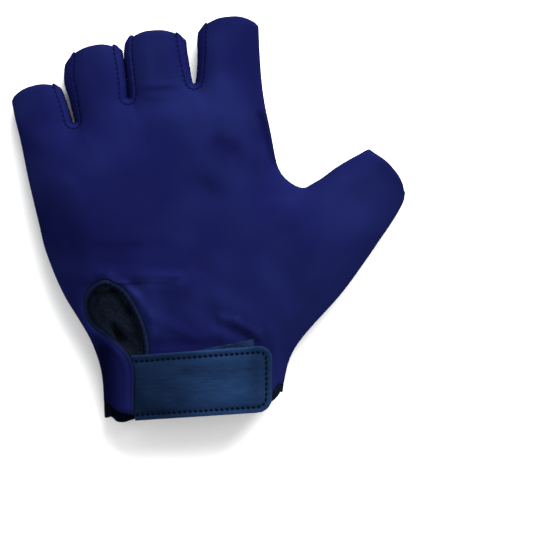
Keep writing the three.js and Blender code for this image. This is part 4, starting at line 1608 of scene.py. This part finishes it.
@dataclass
class KeyholeBinding:
    """The rib-knit tape round the keyhole, which turns under the cloth down the flap's edge."""

    node: str = "keyhole_binding"
    levels: int = 4
    turned_below: float = -43.5
    turned_run: float = 4.0
    turned_puff: float = -0.50
    flap_side: float = -28.0
    hole: tuple[float, float, float] = (-36.0, -40.0, 14.0)
    # Painted shadow along the tape's edge by the hole: where it starts and how far it fades in
    shadow_from: float = 0.1
    shadow_run: float = 0.7
    rubbed: float = 0.25
    wear_and_highlight_run: float = 0.8
    rib: tuple[float, float] = (0.07, 1.15)

    def _puff(self, place: Vector) -> float:
        """How far the turned part is drawn in under the flap's edge at a place."""
        turned = self.turned_puff * ease((self.turned_below - place.y) / self.turned_run)
        return turned if place.x < self.flap_side else 0.0

    def build(self, drape: Drape) -> Pieces:
        """Builds the rounded tape and its row of stitches.

        Args:
            drape: how the cloth beneath lies.

        Returns:
            The stitches and the tape.
        """
        wall = SoftWall(self.node)
        middle = band_middle(wall.outline())
        course = Course(middle)
        ribs = course.ribs(*self.rib)
        wall.uncrease().subdivide(self.levels, passes=1).shift(drape.move)
        side = math.copysign(1.0, course.across(Vector(self.hole)))

        def deep(place: Vector) -> float:
            """How far inside the hole's edge a place is, from 0 to 1, as the share of painted shadow there.
            """
            return ease((course.across(place) * side - self.shadow_from) / self.shadow_run)

        def rubbed(place: Vector) -> float:
            """How much lighter the tape is at a place on its outer side."""
            return self.rubbed * ease((-course.across(place) * side) / self.wear_and_highlight_run)

        wall.store(Mark.ALONG, course.along).store(Mark.ACROSS, course.across)
        # Painted shadow on the hole's side, and rubbed lightening on the outer side
        wall.store(Mark.PAINTED_SHADE, deep).store(Mark.WEAR_AND_HIGHLIGHT, rubbed)
        wall.swell(lambda place: self._puff(place) + ribs(place))
        open_part = [p for p in middle if p.y > self.turned_below or p.x > self.flap_side]
        row = SeamRow(open_part, pitch=2.1, length=1.3, thick=0.34)
        needle = Needle("keyhole_stitches", wall.tree(), 1.0, ABOVE).sew([row])
        return [needle.done(), wall.done("keyhole_binding_tape", [Finish.BINDING])]


@dataclass
class CuffTape:
    """A dark hem tape along a wrist edge."""

    node: str
    facing: float
    levels: int = 3
    rubbed: float = 0.6
    wear_and_highlight_run: float = 0.6
    rib: tuple[float, float] = (0.10, 1.3)

    def build(self, drape: Drape | None = None) -> Pieces:
        """Builds the ribbed tape.

        Args:
            drape: how the cloth beneath lies, where the tape is on the back.

        Returns:
            The tape alone.
        """
        wall = SoftWall(self.node, self.facing)
        outline = wall.outline()
        edge = Border(outline).search(0.5)
        course = Course(band_middle(outline))
        wall.subdivide(self.levels).soften_rims(0.6, 3)
        if drape is not None:
            wall.shift(drape.move)
        wall.store(Mark.ALONG, course.along).store(Mark.ACROSS, course.across)
        wall.store(Mark.WEAR_AND_HIGHLIGHT, edge.fade(self.wear_and_highlight_run, self.rubbed))
        wall.swell(course.ribs(*self.rib), Part.OUTER)
        return [wall.done(f"{self.node}_weave", [Finish.HEM])]


@dataclass
class WristStrap:
    """The closure tab: brushed suede with a row of stitches inside its edge."""

    levels: int = 3
    stitch_depth: float = 2.3
    channel: float = 0.30
    channel_width: float = 0.85
    fine_width: float = 1.5
    crown: float = 0.35
    crown_from: float = 2.4
    crown_run: float = 3.2
    wave: Mottle = Mottle(11.0, 7.0, 0.7, 0.22)
    wave_run: float = 4.0
    streak: Mottle = Mottle(9.0, 1.1, 4.2, 0.05)
    wear_and_highlight_run: float = 1.1
    root: Plane = (-36.0, -53.7)
    low_corner: Plane = (-29.2, -79.1)

    def _painted_tab_shade(self, place: Vector) -> float:
        """How much lighter the nap is painted: painted shade at the root under the flap, towards the bottom
        and at the free end.

        Args:
            place: the place in millimetres.

        Returns:
            The change, 0 for the plain tone.
        """
        root = 0.62 * ease((place.x + 24.0) / 30.0)
        end = 0.46 * ease((place.x - 13.0) / 6.0) * ease((place.y + 72.0) / 7.0)
        below = 0.20 * ease((-62.0 - place.y) / 11.0) * (1.0 - ease((place.x + 16.0) / 22.0))
        return root - end - below - 0.32

    def build(self) -> Pieces:
        """Builds the tab and its stitches.

        Returns:
            The stitches and the tab.
        """
        wall = SoftWall("wrist_strap")
        border = Border(wall.outline())
        edge = border.search(0.5)
        line = border.run(self.low_corner, self.root, self.stitch_depth)
        row = SeamRow(line, pitch=2.1, length=1.65, thick=0.88, slant=-0.32)
        channels = Channels([row], self.channel, self.channel_width)

        def height(place: Vector) -> float:
            """How far the padded crown, waves and streaks stand up.

            Args:
                place: the place in millimetres.

            Returns:
                The height.
            """
            inside = edge.distance(place)
            wavy = self.wave.at(place) * ease(inside / self.wave_run)
            puff = self.crown * ease((inside - self.crown_from) / self.crown_run)
            return puff + wavy + self.streak.at(place) + channels.dip(place)

        wall.subdivide(self.levels).soften_rims(0.5, 2)
        wall.refine(lambda place: channels.distance(place) < self.fine_width).swell(height, Part.OUTER)
        # Painted shade in the stitch channel, painted light and shade across the tab, and a painted
        # highlight along its rim
        wall.store(Mark.CHANNEL_SHADE, channels.share).store(Mark.PAINTED_LIGHT_AND_SHADE, self._painted_tab_shade)
        wall.store(Mark.WEAR_AND_HIGHLIGHT, edge.fade(self.wear_and_highlight_run))
        needle = Needle("strap_stitches", wall.tree(), 1.0, ABOVE).sew([row])
        return [needle.done(), wall.done("wrist_strap_suede", [Finish.STRAP])]


@dataclass
class LoopPatch:
    """The fastener's looped pile under the free end of the tab."""

    levels: int = 4
    tuft: float = 0.22
    tuft_rate: float = 1.4

    def build(self, drape: Drape) -> Pieces:
        """Builds the patch with its tufts.

        Args:
            drape: how the cloth beneath lies.

        Returns:
            The patch alone.
        """
        wall = SoftWall("loop_patch").subdivide(self.levels).soften_rims(0.4, 1).shift(drape.move)
        wall.swell(lambda place: self.tuft * noise.noise(place * self.tuft_rate), Part.OUTER)
        return [wall.done("loop_patch_pile", [Finish.LOOP])]


@dataclass
class PalmRows:
    """The rows of stitches of the palm side, measured from the borders of its leather."""

    tips: tuple[tuple[Plane, Plane], ...] = (
        ((-62.4, 54.3), (-79.4, 48.1)),
        ((-38.5, 69.7), (-53.9, 67.0)),
        ((-12.9, 74.8), (-30.8, 73.4)),
        ((19.8, 78.1), (-1.3, 78.6)),
    )
    tip_depths: tuple[float, ...] = (1.5, 3.1)
    slit_depths: tuple[float, ...] = (0.9, 2.3)
    hem: tuple[Plane, Plane] = ((-42.2, -77.1), (29.4, -68.3))
    hem_depths: tuple[float, ...] = (1.3, 3.9)
    hem_pitch: float = 2.5
    patch_top: tuple[Plane, Plane] = ((21.7, 37.1), (-70.1, 17.8))
    patch_top_depths: tuple[float, ...] = (1.2, 2.7)
    patch_low: tuple[Plane, Plane] = ((-62.9, -11.5), (78.0, 12.6))
    patch_low_depths: tuple[float, ...] = (1.6, 3.1)
    thumb_end: tuple[Plane, Plane] = ((78.0, 12.6), (65.6, 27.3))
    thumb_end_depths: tuple[float, ...] = (2.4, 3.9)
    quilt_top: float = 8.8
    quilt_low: tuple[float, float] = (8.0, 12.4)
    quilt_thick: float = 0.72

    def on_panel(self, border: Border) -> list[SeamRow]:
        """The rows on the pebbled leather: fingertips, finger sides and wrist hem.

        Args:
            border: the leather's border.

        Returns:
            The rows.
        """
        rows = [SeamRow(border.run(a, b, depth)) for a, b in self.tips for depth in self.tip_depths]
        rows += [SeamRow(border.run(a, b, depth)) for a, b in SLITS for depth in self.slit_depths]
        rows += [SeamRow(border.run(*self.hem, depth), self.hem_pitch) for depth in self.hem_depths]
        return rows

    def on_patch(self, border: Border) -> list[SeamRow]:
        """The rows on the smooth patch: doubled at its borders, single further in.

        Args:
            border: the patch's border.

        Returns:
            The rows.
        """
        doubled = (
            (self.patch_top, self.patch_top_depths),
            (self.patch_low, self.patch_low_depths),
            (self.thumb_end, self.thumb_end_depths),
        )
        rows = [SeamRow(border.run(*stretch, depth)) for stretch, depths in doubled for depth in depths]
        rows.append(SeamRow(border.run(*self.patch_top, self.quilt_top), thick=self.quilt_thick))
        rows.append(SeamRow(border.run(*self.patch_low, *self.quilt_low), thick=self.quilt_thick))
        return rows


@dataclass
class PalmPanel:
    """The pebbled leather of the palm side, lined with napped fabric, its wrist edge turned in."""

    levels: int = 2
    channel: float = 0.34
    channel_width: float = 0.75
    band: float = 0.22
    band_inset: float = 4.9
    band_width: float = 0.7
    fine_width: float = 1.7
    band_fine_width: float = 1.5
    creases: tuple[Mottle, ...] = (Mottle(7.5, 4.0, 1.3, 0.16), Mottle(3.0, 2.2, 5.3, 0.05))
    crease_run: float = 3.0
    side_from: float = 0.4
    side_run: float = 2.0
    rubbed: float = 0.8
    wear_and_highlight_run: float = 1.2
    turned: float = 10.5
    seen_above: float = 3.5
    rows: PalmRows = field(default_factory=PalmRows)

    def _turn_in(self, wall: SoftWall, wrist: PlanSearch) -> None:
        """Marks the faces of the wrist edge that is turned in and taped.

        Args:
            wall: the panel's wall.
            wrist: the search over the wrist's edge.
        """
        for face in wall.bm.faces:
            spot = face.calc_center_median() / MM
            inside = face.material_index != Part.OUTER.value
            if wrist.distance(spot) < self.turned and (inside or spot.z > self.seen_above):
                face.material_index = Part.TURNED.value

    def build(self) -> Pieces:
        """Builds the panel with its stitch channels and stitches.

        Returns:
            The stitches and the panel.
        """
        wall = SoftWall("palm_panel", -1.0)
        border = Border(wall.outline())
        rows = self.rows.on_panel(border)
        channels = Channels(rows, self.channel, self.channel_width)
        edge = border.search(0.6)
        hem = Channels([SeamRow(border.run(*self.rows.hem, self.band_inset))], self.band, self.band_width)

        def height(place: Vector) -> float:
            """How far the leather's creases stand up and its channels dip.

            Args:
                place: the place in millimetres.

            Returns:
                The height.
            """
            inside = ease(edge.distance(place) / self.crease_run)
            sides = ease((place.z - self.side_from) / self.side_run)
            return channels.dip(place) + hem.dip(place) + sum_at(self.creases, place) * inside * sides

        def needs_detail(place: Vector) -> bool:
            """Whether a place is beside a row of stitches or the hem's band."""
            return channels.distance(place) < self.fine_width or hem.distance(place) < self.band_fine_width

        wall.subdivide(self.levels).soften_rims(0.5, 2).shift(blunt).refine(needs_detail)
        # The stitch channels are darkened in the finish as painted shade
        wall.swell(height, Part.OUTER).store(Mark.CHANNEL_SHADE, channels.share)
        wall.store(Mark.WEAR_AND_HIGHLIGHT, edge.fade(self.wear_and_highlight_run, self.rubbed))
        needle = Needle("palm_stitches", wall.tree(), -1.0, BELOW).sew(rows)
        wall.store(Mark.ALONG, lambda place: place.x).store(Mark.ACROSS, lambda place: place.y)
        self._turn_in(wall, PlanSearch(smooth_path(border.run(*self.rows.hem, 0.0), 0.5)))
        panel_finishes = [Finish.LEATHER, Finish.LEATHER, Finish.NAP, Finish.HEM]
        return [needle.done(), wall.done("palm_panel_leather", panel_finishes)]


@dataclass
class PalmPatch:
    """The smooth padded patch across the palm and along the thumb."""

    levels: int = 3
    channel: float = 0.42
    channel_width: float = 0.8
    creases: Mottle = Mottle(9.0, 5.0, 7.7, 0.10)
    side_from: float = 0.3
    side_run: float = 1.5
    rounding: float = 0.35
    rounding_run: float = 1.1
    wear_and_highlight_run: float = 0.9
    fill: float = 0.35
    rows: PalmRows = field(default_factory=PalmRows)

    def build(self) -> Pieces:
        """Builds the patch with its quilted channels and stitches.

        Returns:
            The stitches and the patch.
        """
        wall = SoftWall("palm_overlay", -1.0)
        border = Border(wall.outline())
        rows = self.rows.on_patch(border)
        channels = Channels(rows, self.channel, self.channel_width)
        edge = border.search(0.6)
        rounding = edge.fade(self.rounding_run, self.rounding)

        def height(place: Vector) -> float:
            """How far the patch's creases stand up and its channels and edge dip.

            Args:
                place: the place in millimetres.

            Returns:
                The height.
            """
            creases = self.creases.at(place) * ease((place.z - self.side_from) / self.side_run)
            return channels.dip(place) - rounding(place) + creases

        wall.subdivide(self.levels).soften_rims(0.5, 3).swell(height, Part.OUTER)
        # The stitch channels are darkened in the finish as painted shade
        wall.store(Mark.CHANNEL_SHADE, channels.share)
        wall.store(Mark.WEAR_AND_HIGHLIGHT, edge.fade(self.wear_and_highlight_run))
        needle = Needle("patch_stitches", wall.tree(), -1.0, BELOW).sew(rows)
        stitches = needle.done()
        patch = wall.done("palm_patch_leather", [Finish.PATCH])
        return [stitches, patch]


@dataclass
class PalmLining:
    """The napped lining that shows through the keyhole and the finger openings."""

    levels: int = 3
    tuft: float = 0.204
    tuft_rate: float = 0.9
    clumps: Mottle = Mottle(5.0, 7.0, 3.0, 0.204)
    keyhole: Plane = (-36.0, -42.0)
    reach: float = 24.0
    # Painted shadows: darker bands along the binding's inner edge and a darker hollow in the lining
    painted_shadows: tuple[Fold, ...] = (
        Fold(-38.4, -42.0, -34.8, -47.0, 1.8, 0.9),
        Fold(-47.2, -29.6, -38.4, -28.0, 1.3, 0.70),
        Fold(-38.4, -28.0, -32.2, -36.4, 1.4, 0.80),
        Fold(-32.2, -36.4, -27.0, -48.0, 1.5, 0.60),
        Fold(-48.0, -31.0, -45.0, -40.6, 1.1, 0.60),
        Fold(-45.0, -40.6, -35.8, -47.6, 1.3, 0.60),
    )

    def _shown(self, place: Vector) -> bool:
        """Whether a place is near the keyhole."""
        return math.hypot(place.x - self.keyhole[0], place.y - self.keyhole[1]) < self.reach

    def _nap(self, place: Vector) -> float:
        """The height of the nap's tufts and clumps at a place."""
        return self.tuft * noise.noise(place * self.tuft_rate) + self.clumps.at(place)

    def build(self) -> Pieces:
        """Builds the lining with its clumped nap.

        Returns:
            The lining alone.
        """
        wall = SoftWall("palm_lining", -1.0).subdivide(self.levels).soften_rims(0.5, 1)
        wall.refine(self._shown, Part.INNER).swell(self._nap, Part.INNER)
        # Stores the painted shadows for the finish
        wall.store(Mark.PAINTED_SHADE, lambda place: min(1.0, sum_at(self.painted_shadows, place)))
        return [wall.done("palm_lining_nap", [Finish.NAP])]


@dataclass
class Studio:
    """The pale floor, the soft light and the camera above the glove."""

    centre: Plane = (22.8, -18.4)
    frame_width: float = 213.2
    seen_height: float = 8.0
    lens: float = 200.0
    sensor: float = 36.0
    clip: tuple[float, float] = (0.01, 20.0)
    floor_size: float = 6.0
    floor_tone: float = 0.92
    world_tone: float = 0.95
    lamp_place: tuple[float, float, float] = (0.42, 0.98, 0.68)
    lamp_size: float = 1.1
    lamp_power: float = 60.0

    def build(self) -> None:
        """Builds the floor, light, world and camera."""
        self._floor()
        self._world()
        self._lamp()
        self._camera()
        bpy.context.scene.view_settings.view_transform = "Standard"

    def _floor(self) -> None:
        """Lays a plain pale floor just under the glove."""
        bm = bmesh.new()
        bmesh.ops.create_grid(bm, x_segments=1, y_segments=1, size=self.floor_size / 2)
        mesh = bpy.data.meshes.new("floor")
        bm.to_mesh(mesh)
        bm.free()
        paint = (self.floor_tone, self.floor_tone, self.floor_tone, 1.0)
        sockets = {"Base Color": paint, "Roughness": 0.9, "Specular IOR Level": 0.1}
        mesh.materials.append(Graph("floor_paint").dress(sockets))
        floor = bpy.data.objects.new("floor", mesh)
        bpy.context.scene.collection.objects.link(floor)
        floor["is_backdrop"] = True

    def _world(self) -> None:
        """Sets an even white surrounding light."""
        world = bpy.data.worlds.new("studio")
        world.use_nodes = True
        background = next(node for node in world.node_tree.nodes if node.type == "BACKGROUND")
        background.inputs["Color"].default_value = (1.0, 1.0, 1.0, 1.0)
        background.inputs["Strength"].default_value = self.world_tone
        bpy.context.scene.world = world

    def _lamp(self) -> None:
        """Hangs a square soft light that looks at the glove."""
        lamp = bpy.data.lights.new("key_light", "AREA")
        lamp.size = self.lamp_size
        lamp.energy = self.lamp_power
        holder = bpy.data.objects.new("key_light", lamp)
        bpy.context.scene.collection.objects.link(holder)
        holder.location = self.lamp_place
        holder.rotation_euler = (-Vector(self.lamp_place)).to_track_quat("-Z", "Y").to_euler()

    def _camera(self) -> None:
        """Hangs the camera straight above, with the fingers to the top of the picture."""
        lens = bpy.data.cameras.new("camera")
        lens.lens = self.lens
        lens.sensor_width = self.sensor
        lens.clip_start, lens.clip_end = self.clip
        away = self.frame_width * self.lens / self.sensor
        camera = bpy.data.objects.new("camera", lens)
        bpy.context.scene.collection.objects.link(camera)
        camera.location = Vector((*self.centre, self.seen_height + away)) * MM
        bpy.context.scene.camera = camera


def write_sizes() -> None:
    """Makes plain lists of the solids' box and the dressed glove's box, which are not kept."""
    boxes = {"cad": CAD_BOX, "visual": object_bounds()}
    {name: [list(corner) for corner in box] for name, box in boxes.items()}


def main() -> None:
    """Builds the studio and every piece of the glove."""
    logging.basicConfig(level=logging.INFO, format="%(message)s")
    Studio().build()
    drape = Drape(Border(SoftWall("palm_panel", -1.0).outline()).search())
    pieces = BackPanel().build(drape)
    for fourchette in FOURCHETTES:
        pieces += fourchette.build()
    pieces += KeyholeBinding().build(drape)
    pieces += CuffTape("back_cuff_tape", 1.0).build(drape)
    pieces += CuffTape("palm_cuff_tape", -1.0).build()
    pieces += WristStrap().build()
    pieces += LoopPatch().build(drape)
    pieces += PalmPanel().build()
    pieces += PalmPatch().build()
    pieces += PalmLining().build()
    for piece in pieces:
        log.info("%s: %d faces", piece.name, len(piece.data.polygons))
    write_sizes()


if __name__ == "__main__":
    main()
